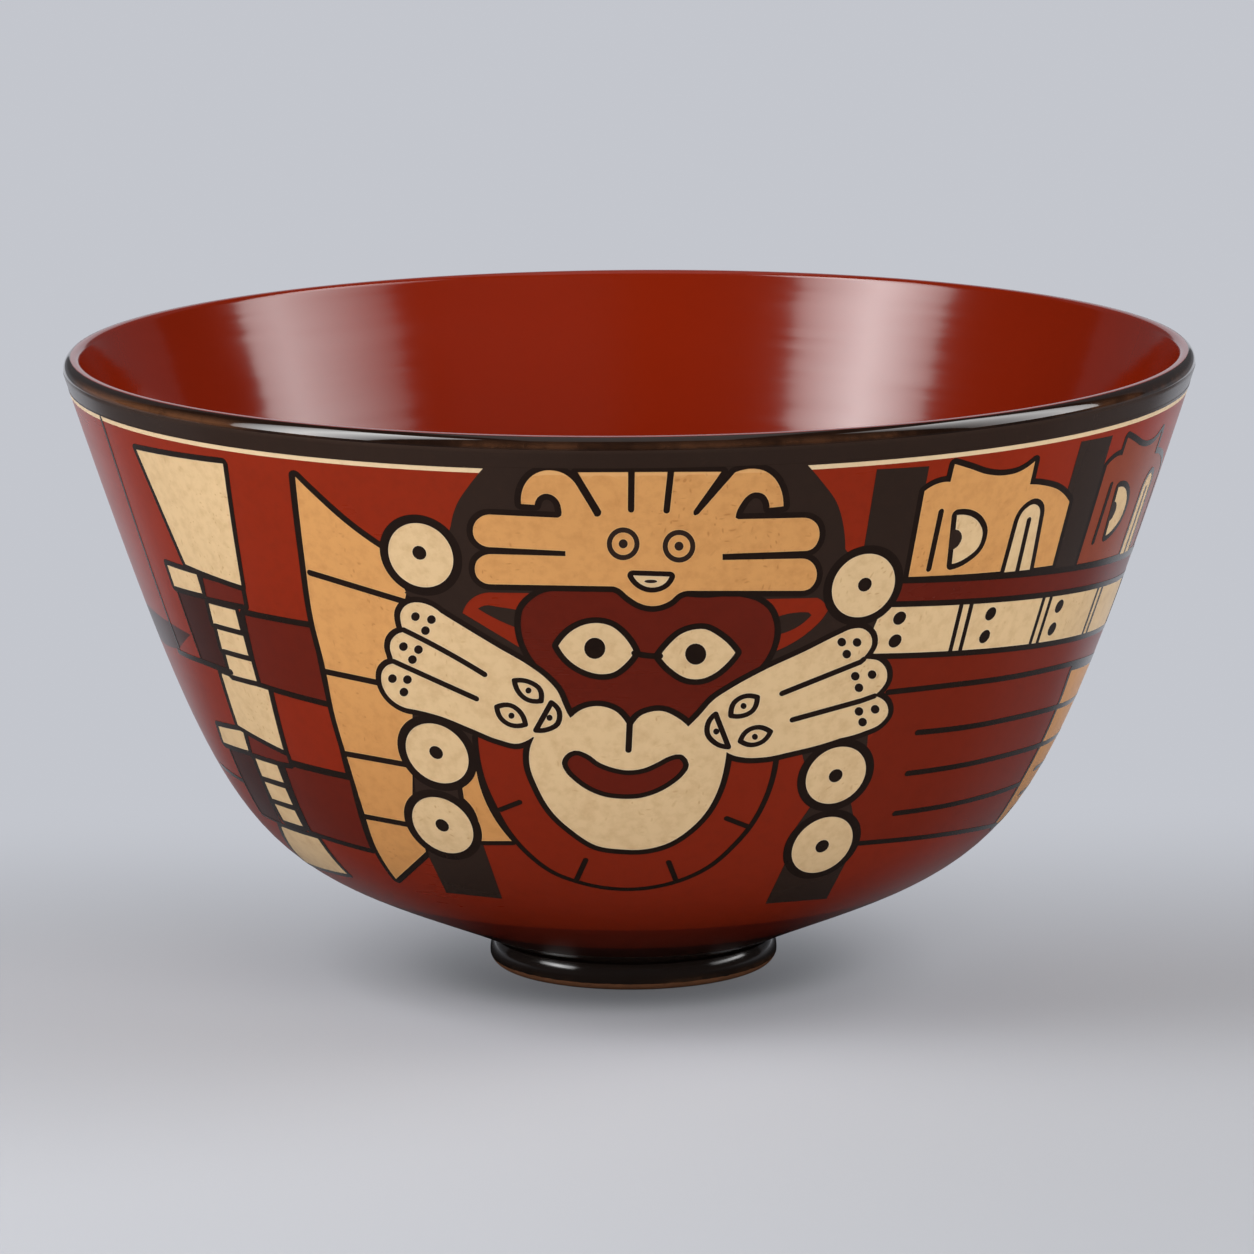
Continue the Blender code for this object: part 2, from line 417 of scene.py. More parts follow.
# Right streamer: trophy heads over a dotted band, then long quills and the next fan, in wall degrees
rightStreamer = {
    "barCount": 2,
    "barStep": (26.2, 0.1),             # degrees round and millimetres down to the next bar
    "headStep": (26.9, 1.1),
    "bandFrom": 21.5,                   # corners below this go down with the slope of the band
    "bar": [(24.3, 4.2), (30.1, 4.5), (30.1, 8.4), (30.3, 23.0), (28.4, 26.2), (26.4, 25.0), (24.2, 16.2)],
    "head": [
        (30.1, 8.4), [(31.3, 7.5), (32.6, 7.3)], (33.0, 7.4), (33.1, 4.6),
        [(35.2, 5.7), (37.4, 6.9), (39.7, 7.5), (41.9, 7.3)], (43.8, 6.0), (43.9, 9.7),
        [(46.4, 10.4), (49.0, 11.7)], (51.4, 14.0), (51.7, 24.2), [(41.5, 23.2)], (30.1, 22.0),
    ],
    "nose": [(32.6, 12.0), (32.5, 21.1)],
    "halfEye": [
        (34.7, 12.9), [(36.2, 13.2), (37.9, 14.7), (38.7, 16.4), (38.6, 18.5), (37.2, 20.1)], (35.4, 20.8),
    ],
    "pupil": [(34.4, 15.2), [(35.6, 15.7), (36.0, 16.8), (35.6, 18.1)], (34.5, 18.4)],
    "mouth": [
        (43.4, 23.6), (43.5, 16.0), [(43.9, 14.0), (45.2, 13.1), (46.5, 14.1)], (46.8, 15.4), (47.6, 24.0),
    ],
    "mouthLine": [(45.2, 15.6), (45.5, 23.8)],
    "end": 93.0,                        # degrees: the next figure starts here
    "slope": 0.122,                     # millimetres down for a degree round
    "levelFrom": 28.3,                  # degrees at which the levels are given
    "start": 26.6,                      # degrees, under the hand
    "headLine": 22.3,                   # millimetres down
    "maroonBand": (22.8, 25.7),
    "creamBand": (26.6, 34.1),
    "barPairs": (38.1, 13.9, 1.5),      # first pair, step, gap
    "barPairCount": 4,
    "dotPairs": (30.0, 13.0, 28.4, 32.1),   # first pair, step, and the two levels
    "dotCount": 3,
    "dotRadius": 1.08,                  # millimetres
    "quills": [
        [(30.5, 40.8), [(38.0, 41.1), (48.2, 41.9), (62.0, 43.1)], (93.0, 48.6)],
        [(36.3, 48.5), [(43.4, 49.1), (55.8, 49.9)], (68.7, 51.3), (93.0, 54.2)],
        [(36.6, 55.6), [(46.0, 56.1), (54.6, 56.5)], (67.3, 57.6), (93.0, 60.0)],
        [(36.8, 62.8), [(45.3, 63.3), (54.3, 63.7)], (66.6, 64.4)],
        [(30.0, 67.5), [(44.3, 69.0), (54.2, 70.3)], (70.0, 73.2)],
    ],
    "field": [
        (27.4, 34.3), (93.0, 43.0), (93.0, 74.0), (70.0, 73.2), [(54.2, 70.3), (44.3, 69.0)], (30.7, 67.5),
        (27.0, 58.8), (26.0, 53.4), (29.7, 47.9),
    ],
    "fan": [
        (67.0, 45.0), [(67.6, 50.2), (67.6, 57.6), (67.3, 64.5)], (69.0, 73.3), [(78.0, 72.5)],
        (93.0, 68.0), (93.0, 48.8),
    ],
    "fanTicks": [
        [(71.4, 62.9), (81.0, 63.8)], [(71.4, 67.5), (80.0, 68.0)], [(74.0, 71.4), (79.0, 71.2)],
    ],
}
trophyHeads = {
    "slips": ("tan", "russet"),
    "outlines": ("head", "nose", "halfEye", "pupil", "mouth", "mouthLine"),
}


def shifted(parts, step, times):
    def moved(part):
        if isinstance(part, list):
            return [moved(place) for place in part]
        drop = rightStreamer["slope"] * step[0] if part[1] > rightStreamer["bandFrom"] else step[1]
        return part[0] + step[0] * times, part[1] + drop * times

    return [moved(part) for part in parts]


def paintTrophyHead(times, slip):
    part, step = rightStreamer, rightStreamer["headStep"]
    place = {key: shifted(part[key], step, times) for key in trophyHeads["outlines"]}
    fill(slip, wallLoop(place["head"]), brush["line"])
    stroke(wallPath(place["nose"]), brush["line"])
    fill("cream", wallLoop(place["halfEye"]), brush["line"])
    fill("black", wallLoop(place["pupil"]))
    fill("cream", wallLoop(place["mouth"]), brush["line"])
    stroke(wallPath(place["mouthLine"]), brush["line"])


def paintRightStreamer():
    part = rightStreamer
    start, end, slope = part["start"], part["end"], part["slope"]

    def level(degrees, down):
        return (degrees, down + slope * (degrees - part["levelFrom"]))

    def band(slip, top, bottom):
        corners = [level(start, top), level(end, top), level(end, bottom), level(start, bottom)]
        fill(slip, wallLoop(corners), brush["line"])

    fill("brick", wallLoop(part["field"]))
    for times in range(part["barCount"]):
        fill("black", wallLoop(shifted(part["bar"], part["barStep"], times)))
    for times, slip in enumerate(trophyHeads["slips"]):
        paintTrophyHead(times, slip)
    stroke(wallPath([level(start, part["headLine"]), level(end, part["headLine"])]), brush["line"])
    band("maroon", *part["maroonBand"])
    band("cream", *part["creamBand"])
    first, step, gap = part["barPairs"]
    for k in range(part["barPairCount"]):
        for degrees in (first + step * k, first + step * k + gap):
            stroke(wallPath([level(degrees, down) for down in part["creamBand"]]), brush["fine"])
    first, step, *rows = part["dotPairs"]
    for k in range(part["dotCount"]):
        for down in rows:
            fill("ink", wallRound(level(first + step * k, down), part["dotRadius"]))
    fill("tan", wallLoop(part["fan"]), brush["line"])
    for quill in part["quills"] + part["fanTicks"]:
        stroke(wallPath(quill), brush["line"])


# Masked figure, in photo pixels
figure = {
    "hair": [
        (488, 462), [(469.3, 484), (456, 504.5)],
        (450.3, 525), (440, 560), (404, 592), (440, 620), (545, 680), (630, 720), (705, 712), (765, 670),
        (872, 630), (885, 600), (844.7, 548.5), [(843.3, 528), (836, 501.6), (821.3, 481)], (804, 461),
    ],
    "ornament": [
        (577.3, 471.7), (721, 471.1), (693, 510.5), [(693.5, 514.5)], (698, 513.5), (734.8, 471.7),
        [(745, 468.7), (755.3, 468.2), (765.6, 471), (774.4, 478.1), (780.2, 488.4), (782.6, 498.7)],
        (782.9, 505.7), (769.1, 507.2),
        [(767.9, 500.1), (764.1, 494.3), (758.2, 491.9), (752.4, 492.2), (746.5, 495.7), (740.6, 503.1),
         (735.6, 513.3), (735, 517.2)],
        (738, 518.6), (802.2, 517.1), [(811, 519), (817, 524.5), (819, 532), (817.3, 541), (812, 548)],
        (803.7, 550.4), (722, 553.4), (722, 559.4), (800.8, 557.9),
        [(809, 560), (814.5, 566), (816.3, 573.5), (814.5, 581.5), (809, 588)],
        (800.8, 590.2), (686.4, 590.2),
        [(679, 592.5), (668.8, 600.7), (658.5, 604.8), (649.7, 605.4), (639.4, 602.8), (627.7, 595.5),
         (618.9, 588.1)],
        (613, 585.8), (491.3, 583.7),
        [(482, 581.5), (476, 575.5), (474.3, 568.2), (476, 561), (482, 555.5)],
        (492.8, 553.5), (565, 555.5), (565, 550.5), (488.4, 546.5),
        [(479, 543), (474, 537.5), (472.3, 530.3), (474, 523), (480, 516.5)],
        (488.4, 513.9), (557.3, 517.1),
        [(560.8, 514.8), (560.8, 508.9), (558.8, 501.6), (554.4, 496.3), (547.1, 493.1), (541.2, 494),
         (536.8, 497.2)],
        (534.1, 504.2), (520.7, 503.4),
        [(521, 492.8), (525.1, 482.5), (532.4, 474.6), (542.7, 470.2), (552.9, 469.9), (563.2, 472.9),
         (572, 479.6), (580.8, 492.8)],
        (594.5, 515.8), [(599, 515.5)], (601, 511),
    ],
    "crownLines": [[(631, 470), (630.6, 509)], [(670.5, 470), (666.1, 510)]],
    "ringEyes": [(622.7, 543.2), (678.5, 545.6)],
    "ringEyeRadii": (("black", 16.4), ("tan", 11.3), ("black", 4.6)),
    "grin": [(632.5, 574.8), (669, 576), [(665, 582.2), (650.5, 587), (637, 581)]],
    "tongue": ((650.3, 580.8), 6.5, 1.7),
    "face": [
        [(616, 589.6), (570, 590), (539.7, 593.5), (530, 600), (522.5, 609), (520.3, 621.8), (522, 636.5),
         (528.5, 652.6), (540, 668.8), (580, 730), (640, 750), (700, 730), (745, 679), (765, 658.5),
         (772.3, 642.4), (773.2, 621.8), (768, 609.5), (757.5, 601), (742, 596.5), (700, 597),
         (686.4, 596)],
    ],
    "ears": [
        [(462, 612.5), [(469.3, 599.9), (481.1, 593.1)], (492.8, 591.9), (530.3, 592.5),
         [(520.7, 599.9), (516, 609.5), (514, 625.4), (516.8, 639.4)], (521.2, 648.2)],
        [(764.1, 598.4), (816.9, 597.2), [(825, 604)], (827.2, 610.1), [(821.3, 618.9), (812.5, 627.7)],
         (775.2, 650.6), [(780.5, 633.6), (778.5, 616)], (774.4, 607.2)],
    ],
    "earNotches": [
        [(477.5, 608), [(484, 605.1), (498.7, 606.6)], (519, 609.8), (516, 627), [(495.7, 618.3)]],
        [(776, 616.8), [(786.1, 613.6)], (808.1, 611.9), (811, 614.5), [(799.3, 624.8)], (779, 633.5)],
    ],
    "eyes": [
        [(557.9, 645.3), [(569, 632.1), (583.7, 624.2), (595.5, 622.4), (610.1, 625.4), (623.3, 635.9)],
         (633.6, 651.8), [(623.3, 664.4), (613, 671.7), (598.4, 673.5), (583.7, 669.4), (569, 660)]],
        [(659.4, 655.6), [(668.8, 643.8), (680.5, 633.6), (692.2, 629.2), (704, 628.6), (718.6, 635.9)],
         (734.8, 652.1), [(726, 662.9), (715.7, 671.7), (701, 678.2), (686.4, 677.6), (673.2, 670.2)]],
    ],
    "pupils": [(594.3, 647.7), (695.2, 653.5)],
    "pupilRadius": 10.6,
    "bridge": [(634, 652.5), [(646.8, 655)], (659.5, 655.5)],
    "mask": [
        (572, 715.7), [(580.8, 709.2), (592.5, 705.7), (604.2, 706.3), (616, 711.3), (624.2, 720.1)],
        (629.2, 729), [(632.1, 724.5), (639.4, 715.7), (649.7, 711.3), (661.4, 710.4), (674.6, 715.7)],
        (687.8, 726), (700, 735), (726, 751.5),
        [(723.9, 765.6), (718.6, 786.1), (706.9, 809.5), (689.3, 828.6), (665.8, 843.3), (642.4, 848.9),
         (621.8, 848.9), (595.5, 844.8), (572, 830.1), (551.5, 811), (536.8, 786.1), (528.9, 762.6),
         (529.5, 748)],
        (533.3, 737.7), (555, 728),
    ],
    "lipFold": [(629.2, 724), (628, 749.5)],
    "mouth": [
        [(569, 758.2), (574.9, 754.7), (583.7, 757.3), (595.5, 765.6), (610.1, 771.4), (627.7, 774.4),
         (645.3, 772), (660, 765.6), (671.7, 759.7), (679, 758.5), (682.8, 764.5), (677.6, 772.9),
         (668.8, 780.2), (654.1, 788.4), (639.4, 792.8), (621.8, 793.7), (604.2, 791.4), (589.6, 785.5),
         (577.9, 777.3), (569, 767.9), (567, 762.6)],
    ],
}

# Hands that hold the mask, in photo pixels
hands = {
    "left": [
        (569, 716), (575, 730), (545, 745), (532.4, 736.2),
        [(528, 739.2), (517.7, 743), (498.7, 739.2), (469.3, 727.4), (440, 715.7)], (406.7, 707.7),
        [(394, 701.5), (385.5, 692.5), (381, 681), (382, 670.5), (387.5, 664.5)], (393.4, 663),
        [(392, 656.5), (389.5, 648), (391, 639.5), (396, 634)], (403.6, 631.5),
        [(400.5, 622), (400, 613), (404, 606), (410.5, 602.3), (418, 601.8), (427.5, 604.1)], (440, 612),
        [(469.3, 630.1), (498.7, 647.7), (528, 664.8), (545.6, 678), (557.3, 691.2), (562.5, 703)],
        (566.6, 712.3),
    ],
    "right": [
        (687.8, 726),
        [(699.6, 714.2), (712.8, 699.6), (730.4, 687.8), (762.6, 670.2), (806.6, 649.7), (838.9, 633.6),
         (850.6, 628.5), (862, 628), (870, 634.5), (871.3, 644), (867, 652)],
        (861.4, 658.5), [(870, 658.5), (878.3, 660.3), (885.9, 669.5), (885.9, 680.2), (881, 688)],
        (873, 695.3), [(880, 697.5), (886, 703.2), (887.5, 712.4), (879.8, 723.1), (864.5, 730.5)],
        (840, 737.5), [(821.3, 743.6), (792, 750.9), (762.6, 756.8), (742.1, 756.8), (733, 754.8)],
        (726, 751.5), (700, 745), (680, 735),
    ],
    "fingerLines": [
        [(403.6, 629.5), [(440, 648.2)], (484, 673.8)], [(393.4, 660.9), [(440, 682)], (475.8, 698.1)],
        [(863, 658.8), (860, 661.4), (781.7, 692.8)], [(873.7, 695.5), (860, 700.4), (792, 719.2)],
    ],
    "nailDots": [
        (415, 616), (431, 619), (425, 630), (403, 646), (418, 649), (412, 659), (392, 678), (407, 679),
        (403.5, 691.5), (841.2, 641.5), (856.5, 641.8), (846.2, 653.5), (854.7, 675.6), (871.5, 674),
        (858.4, 687.2), (858.4, 710.8), (874.6, 708.7), (862, 721.5),
    ],
    "nailDotRadius": 4.4,
    "palmEyes": [
        [(513.9, 679.9), [(528, 681.1), (539.7, 689.3)], (540.6, 700.4), [(525, 698.1), (517.7, 690.8)]],
        [(496.3, 706.3), [(510.4, 704.9), (520.7, 712.8)], (525, 723.9), [(510.4, 724.5), (500.1, 717.2)]],
        [(730.4, 715.1), [(733.3, 702.5), (743.6, 695.8)], (756.8, 696.6),
         [(752.4, 709.8), (739.2, 715.7)]],
        [(739.7, 740.6), [(746.5, 730.4), (758.2, 726.6)], (770, 731.2), [(762.6, 740.6), (750.9, 744.4)]],
        [(535.3, 729.8), (550.9, 701.9), [(558.8, 711.3), (557.3, 723), (547.1, 728.9)]],
        [(715.1, 713.3), (728, 746.5), [(714.2, 742.1), (706.9, 733.3), (707.5, 723)]],
    ],
    "palmDots": [
        (528, 689.9), (511, 715.1), (743, 705.4), (754.4, 736.2), (549.1, 717.2), (715.7, 730.9),
    ],
    "palmDotRadius": 3.1,
}

# Shell discs and the dark locks they hang on, in photo pixels
shells = {
    "locks": [
        [(412, 712), (440, 716), (476, 734), (472, 760), (458, 790), (480.5, 838), (501.6, 898),
         (445.9, 892), (429, 857), (425, 835), (415, 790), (412, 760)],
        [(800, 748), (840, 735), (868, 729), (865, 760), (850, 800), (856, 835), (845, 862), (826, 898),
         (765, 903), (784.6, 862.3), (793, 830), (812, 803), (806, 770)],
    ],
    "discs": [                          # centre, long half, short half, turn in degrees, dot centre
        ((420.3, 554.6), 34.9, 29.6, 43, (418.9, 552.2)),
        ((436.7, 752.7), 34.6, 26.3, 40, (435.7, 751.9)),
        ((442.3, 824.5), 34.0, 23.8, 38, (441.8, 824.7)),
        ((862.9, 584.9), 34.6, 28.5, -46, (864.3, 584.0)),
        ((835.3, 774.6), 32.8, 25.4, -39, (835.1, 775.1)),
        ((821.6, 844.2), 33.9, 23.8, -38, (821.6, 845.6)),
    ],
    "dotRadius": 7.6,
}

# Collar under the mask, in photo pixels
collar = {
    "arc": [
        [(474.6, 736.2), (476.7, 756.8), (482.5, 780.2), (492.8, 803.7), (507.5, 830.1), (528, 853.6),
         (551.5, 871.2), (580.8, 882.3), (610.1, 887.9), (630.6, 888.7), (657, 885.8), (683.4, 878.5),
         (709.8, 865.3), (733.3, 844.8), (750.9, 824.2), (762.6, 803.7), (771.4, 780.2), (775.8, 757.7)],
    ],
    "ticks": [
        [(500.1, 809), (519.2, 801.6)], [(576.4, 878.5), (585.2, 859.4)],
        [(675.5, 880), (668.2, 861.5)], [(746.5, 825.7), (726, 817.8)],
    ],
    "tassel": [
        (462, 787.6), (469.3, 781.7), (475.8, 770), [(482.5, 794.9), (494.3, 818.4)], (511.3, 840.4),
        (481.1, 840.4), (478.7, 824.2), [(473.7, 809.5)], (463.5, 797.8),
    ],
}


def paintCollar():
    fill("tan", photoLoop(collar["tassel"]), brush["fine"])
    arc = photoPath(collar["arc"])
    fill("red", arc)
    stroke(arc, brush["fine"])
    for tick in collar["ticks"]:
        stroke(photoPath(tick), brush["fine"])


def paintHead():
    fill("black", photoLoop(figure["hair"]))
    for ear in figure["ears"]:
        fill("red", photoLoop(ear))
    for notch in figure["earNotches"]:
        fill("black", photoLoop(notch))
    fill("maroon", photoLoop(figure["face"]), brush["line"])
    for eye in figure["eyes"]:
        fill("cream", photoLoop(eye), brush["line"])
    stroke(photoPath(figure["bridge"]), brush["line"])
    dots(figure["pupils"], figure["pupilRadius"])


def paintOrnament():
    fill("tan", photoLoop(figure["ornament"]), brush["line"])
    for line in figure["crownLines"]:
        stroke(photoPath(line), brush["line"])
    for slip, radius in figure["ringEyeRadii"]:
        for place in figure["ringEyes"]:
            fill(slip, roundLoop(place, radius))
    fill("cream", photoLoop(figure["grin"]), brush["fine"])
    fill("black", roundLoop(*figure["tongue"]))


def paintShells():
    dotRadius = shells["dotRadius"]
    for centre, wide, high, turn, dot in shells["discs"]:
        turn = math.radians(turn)
        fill("cream", roundLoop(centre, wide, high, turn), brush["disc"])
        fill("ink", roundLoop(dot, dotRadius, dotRadius * high / wide, turn))


def paintHandsAndMask():
    pale = [photoLoop(shape) for shape in (hands["left"], hands["right"], figure["mask"])]
    fill("cream", pale, brush["line"])
    for line in hands["fingerLines"]:
        stroke(photoPath(line), brush["line"])
    dots(hands["nailDots"], hands["nailDotRadius"])
    for eye in hands["palmEyes"]:
        loop = photoLoop(eye)
        stroke(np.vstack((loop, loop[:1])), brush["fine"])
    dots(hands["palmDots"], hands["palmDotRadius"])
    stroke(photoPath(figure["lipFold"]), brush["line"])
    fill("maroon", photoLoop(figure["mouth"]), brush["fine"])


paintLeftStreamer()
paintFan()
paintRightStreamer()
for lock in shells["locks"]:
    fill("black", photoLoop(lock))
paintHead()
paintOrnament()
paintCollar()
paintShells()
paintHandsAndMask()
print("paint traced:", len(coats), "coats a side")

# The wall is laid out flat in millimetres, cut along every coat, and each cut piece takes its top coat
layout = {
    "end": math.radians(94),            # the two figures meet here and half way round
    "sides": 2,
    "spread": 65.0,                     # millimetres for a radian
    "grid": 2.4,
    "ringSteps": 240,
    "keepOff": 0.4,                     # grid points stay this far from a painted edge
    "creamLine": (2.72, 3.46),          # millimetres down at the front
    "lineTilt": 0.19,                   # and further down at the right
    # bands round the bottom of the wall, millimetres down: a maroon band, then umber and black rings that
    # are painted shade in the dark neck above the foot
    "baseBandsAndNeckShade": (("maroon", 89.0), ("umber", 103.4), ("black", 111.3)),
    "joint": 2.40,                      # millimetres down to the lower edge of the lip's band
    "snap": 1e-5,
    "leastAround": 24,                  # grid points in a row
    "seamGap": 1e-3,
    "seamDigits": 3,
}


def flatLoop(loop, turn=0.0):
    return np.column_stack(((loop[:, 0] + turn) * layout["spread"], loop[:, 1] * 1000))


def ringLoop(top, bottom, topTilt=0.0, bottomTilt=0.0):
    angle = np.linspace(layout["end"] - math.tau, layout["end"], layout["ringSteps"] + 1)
    upper = np.column_stack((angle * layout["spread"], top + topTilt * np.sin(angle)))
    lower = np.column_stack((angle * layout["spread"], bottom + bottomTilt * np.sin(angle)))
    return np.vstack((upper, lower[::-1]))


def gridPoints(edgePoints):
    tree = KDTree(len(edgePoints))
    for i, place in enumerate(edgePoints):
        tree.insert((place[0], place[1], 0), i)
    tree.balance()
    left, right = (layout["end"] - math.tau) * layout["spread"], layout["end"] * layout["spread"]
    top, bottom = layout["joint"], wallLength * 1000
    rows = np.linspace(top, bottom, round((bottom - top) / layout["grid"]) + 1)
    points = []
    for k, y in enumerate(rows):
        count = max(layout["leastAround"], round(math.tau * radiusAt(y / 1000) * 1000 / layout["grid"]))
        inner = 0 < k < len(rows) - 1
        for x in left + (right - left) * (np.arange(count) + (0.5 * (k % 2) if inner else 0)) / count:
            far = tree.find((x, y, 0))[2] > layout["keepOff"]
            if x > left + layout["keepOff"] and (far or not inner):
                points.append((x, y))
        points += [(left, y), (right, y)]
    return np.array(points)


def cutWall():
    loops = [("red", ringLoop(layout["joint"], wallLength * 1000))]
    # painted shade: the umber and black base rings darken the wall where it meets the foot
    loops += [(slip, ringLoop(top, wallLength * 1000)) for slip, top in layout["baseBandsAndNeckShade"]]
    tilt = layout["lineTilt"]
    loops += [("black", ringLoop(layout["joint"], layout["creamLine"][0], bottomTilt=tilt))]
    loops += [("cream", ringLoop(*layout["creamLine"], tilt, tilt))]
    turns = [-math.tau / layout["sides"] * k for k in range(layout["sides"])]
    loops += [(slip, flatLoop(loop, turn)) for turn in turns for slip, loop in coats]
    lines = [loop for _, loop in loops] + [flatLoop(loop, turn) for turn in turns for loop in haloLines]
    low, high = layout["joint"], wallLength * 1000
    for loop in lines:
        loop[:, 1] = np.clip(loop[:, 1], low, high)
    edgePoints = np.vstack(lines)
    points = [Vector(place) for place in np.vstack((edgePoints, gridPoints(edgePoints)))]
    edges, start = [], 0
    for loop in lines:
        edges += [(start + i, start + (i + 1) % len(loop)) for i in range(len(loop))]
        start += len(loop)
    places, _, faces, *_ = delaunay_2d_cdt(points, edges, [], 0, layout["snap"])
    return np.array([place[:] for place in places]), np.array(faces), loops


def windings(loop, points):
    count = np.zeros(len(points), int)
    for a, b in zip(loop, np.roll(loop, -1, 0)):
        side = (b[0] - a[0]) * (points[:, 1] - a[1]) - (points[:, 0] - a[0]) * (b[1] - a[1])
        count += ((a[1] <= points[:, 1]) & (b[1] > points[:, 1]) & (side > 0)).astype(int)
        count -= ((a[1] > points[:, 1]) & (b[1] <= points[:, 1]) & (side < 0)).astype(int)
    return count


def topCoats(places, faces, loops):
    centres = places[faces].mean(1)
    coat = np.full(len(faces), "red", dtype="U8")
    for slip, loop in loops:
        low, high = loop.min(0), loop.max(0)
        near = np.flatnonzero(((centres >= low) & (centres <= high)).all(1))
        coat[near[windings(loop, centres[near]) != 0]] = slip
    return coat


def joinSeam(places, faces):
    gap, digits = layout["seamGap"], layout["seamDigits"]
    left, right = places[:, 0].min(), places[:, 0].max()
    seam = {round(places[i, 1], digits): i for i in np.flatnonzero(places[:, 0] < left + gap)}
    same = np.arange(len(places))
    for i in np.flatnonzero(places[:, 0] > right - gap):
        same[i] = seam[round(places[i, 1], digits)]
    return same[faces]


flatPlaces, flatFaces, flatLoops = cutWall()
faceCoats = topCoats(flatPlaces, flatFaces, flatLoops)
flatFaces = joinSeam(flatPlaces, flatFaces)
print("wall cut:", len(flatPlaces), "points,", len(flatFaces), "faces")


# Coats become thin closed shells that lie on the clay
coatLook = {
    "depth": -0.00038,                  # just under the clay core's surface
    "lineShade": 0.45,                  # the cream line is this far from the pale rim's tone
    "lift": {
        "red": 0.0, "scarlet": 0.0, "brick": 0.0, "russet": 0.0, "umber": 0.0, "maroon": 0.0,
        "cream": 0.00001, "tan": 0.00001, "black": 0.00004, "ink": 0.00004,
    },
    "names": {
        "red": "red_ground", "scarlet": "scarlet_coat", "brick": "brick_coat", "russet": "russet_coat",
        # the umber and black pieces also carry the painted shade rings above the foot
        "umber": "umber_coat", "maroon": "maroon_coat",
        "cream": "cream_coat", "tan": "tan_coat", "black": "black_coat", "ink": "black_line_work",
    },
    "slots": {
        "red": "red_slip", "scarlet": "red_slip", "brick": "red_slip", "russet": "red_slip",
        "umber": "maroon_slip", "maroon": "maroon_slip",
        "cream": "cream_slip", "tan": "tan_slip", "black": "black_slip", "ink": "black_slip",
    },
}


def coatShell(slip):
    faces = flatFaces[faceCoats == slip][:, ::-1]
    faces = faces[(faces != np.roll(faces, 1, 1)).all(1)]
    used, faces = np.unique(faces, return_inverse=True)
    faces = faces.reshape(-1, 3)
    angle, down = flatPlaces[used, 0] / layout["spread"], flatPlaces[used, 1] / 1000
    top, normals = wallPoints(angle, down, coatLook["lift"][slip])
    bottom, _ = wallPoints(angle, down, coatLook["depth"])
    directed = {(a, b) for face in faces.tolist() for a, b in zip(face, face[1:] + face[:1])}
    border = [(a, b) for a, b in directed if (b, a) not in directed]
    count = len(used)
    shell = faces.tolist() + (faces[:, ::-1] + count).tolist()
    shell += [(b, a, a + count, b + count) for a, b in sorted(border)]
    mesh = bpy.data.meshes.new(coatLook["names"][slip])
    mesh.from_pydata(np.vstack((top, bottom)).tolist(), [], shell)
    mesh.shade_smooth()
    edge = mesh.attributes.new("edgeAway", "FLOAT", "POINT")
    tree = KDTree(len(border))
    for i, _ in border:
        tree.insert(top[i], i)
    tree.balance()
    away = np.array([tree.find(place)[2] for place in top])
    away[down * 1000 < layout["creamLine"][1] + layout["keepOff"]] = coatLook["lineShade"] * brush["halo"]
    edge.data.foreach_set("value", np.tile(away, 2))
    corners = np.empty((len(mesh.loops), 3))
    both = np.vstack((normals, -normals))
    vertexOf = np.empty(len(mesh.loops), int)
    mesh.loops.foreach_get("vertex_index", vertexOf)
    corners[:] = both[vertexOf]
    for face in mesh.polygons[2 * len(faces):]:
        corners[face.loop_start:face.loop_start + 4] = face.normal
    mesh.normals_split_custom_set(corners.tolist())
    return mesh


def addPiece(mesh, material, node):
    piece = bpy.data.objects.new(mesh.name, mesh)
    bpy.context.scene.collection.objects.link(piece)
    mesh.materials.clear()
    mesh.materials.append(material)
    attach(piece, "root")
    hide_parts(node)
    return piece


# Node helpers
def addNode(tree, kind, links=None, **settings):
    node = tree.nodes.new(kind)
    for name, value in settings.items():
        setattr(node, name, value)
    for socket, source in (links or {}).items():
        if isinstance(source, bpy.types.NodeSocket):
            tree.links.new(source, node.inputs[socket])
        else:
            node.inputs[socket].default_value = source
    return node


def mathNode(tree, operation, *values, clamp=False):
    links = dict(enumerate(values))
    return addNode(tree, "ShaderNodeMath", links, operation=operation, use_clamp=clamp).outputs[0]


def vectorNode(tree, operation, *values, output="Vector"):
    links = dict(enumerate(values))
    return addNode(tree, "ShaderNodeVectorMath", links, operation=operation).outputs[output]


def scaleVector(tree, vector, factor):
    return addNode(tree, "ShaderNodeVectorMath", {0: vector, "Scale": factor}, operation="SCALE").outputs[0]


def noiseNode(tree, where, scale, detail, roughness=0.5):
    links = {"Vector": where, "Scale": scale, "Detail": detail, "Roughness": roughness}
    return addNode(tree, "ShaderNodeTexNoise", links).outputs


def objectPlace(tree):
    return addNode(tree, "ShaderNodeTexCoord").outputs["Object"]


def splitVector(tree, vector):
    return addNode(tree, "ShaderNodeSeparateXYZ", {0: vector}).outputs


def joinVector(tree, **values):
    return addNode(tree, "ShaderNodeCombineXYZ", values).outputs[0]


def mixColours(tree, share, first, second, blend="MIX"):
    links = {0: share, 6: first, 7: second}
    return addNode(tree, "ShaderNodeMix", links, data_type="RGBA", blend_type=blend).outputs[2]


def ramp(tree, value, low, high):
    links = {"Value": value, "From Min": low, "From Max": high}
    return addNode(tree, "ShaderNodeMapRange", links, interpolation_type="SMOOTHSTEP").outputs[0]


def newGroup(name, inputs, outputs):
    group = bpy.data.node_groups.new(name, "ShaderNodeTree")
    for label, kind, value in inputs:
        socket = group.interface.new_socket(label, in_out="INPUT", socket_type=kind)
        socket.default_value = value
    for label, kind in outputs:
        group.interface.new_socket(label, in_out="OUTPUT", socket_type=kind)
    return group, group.nodes.new("NodeGroupInput").outputs, group.nodes.new("NodeGroupOutput").inputs


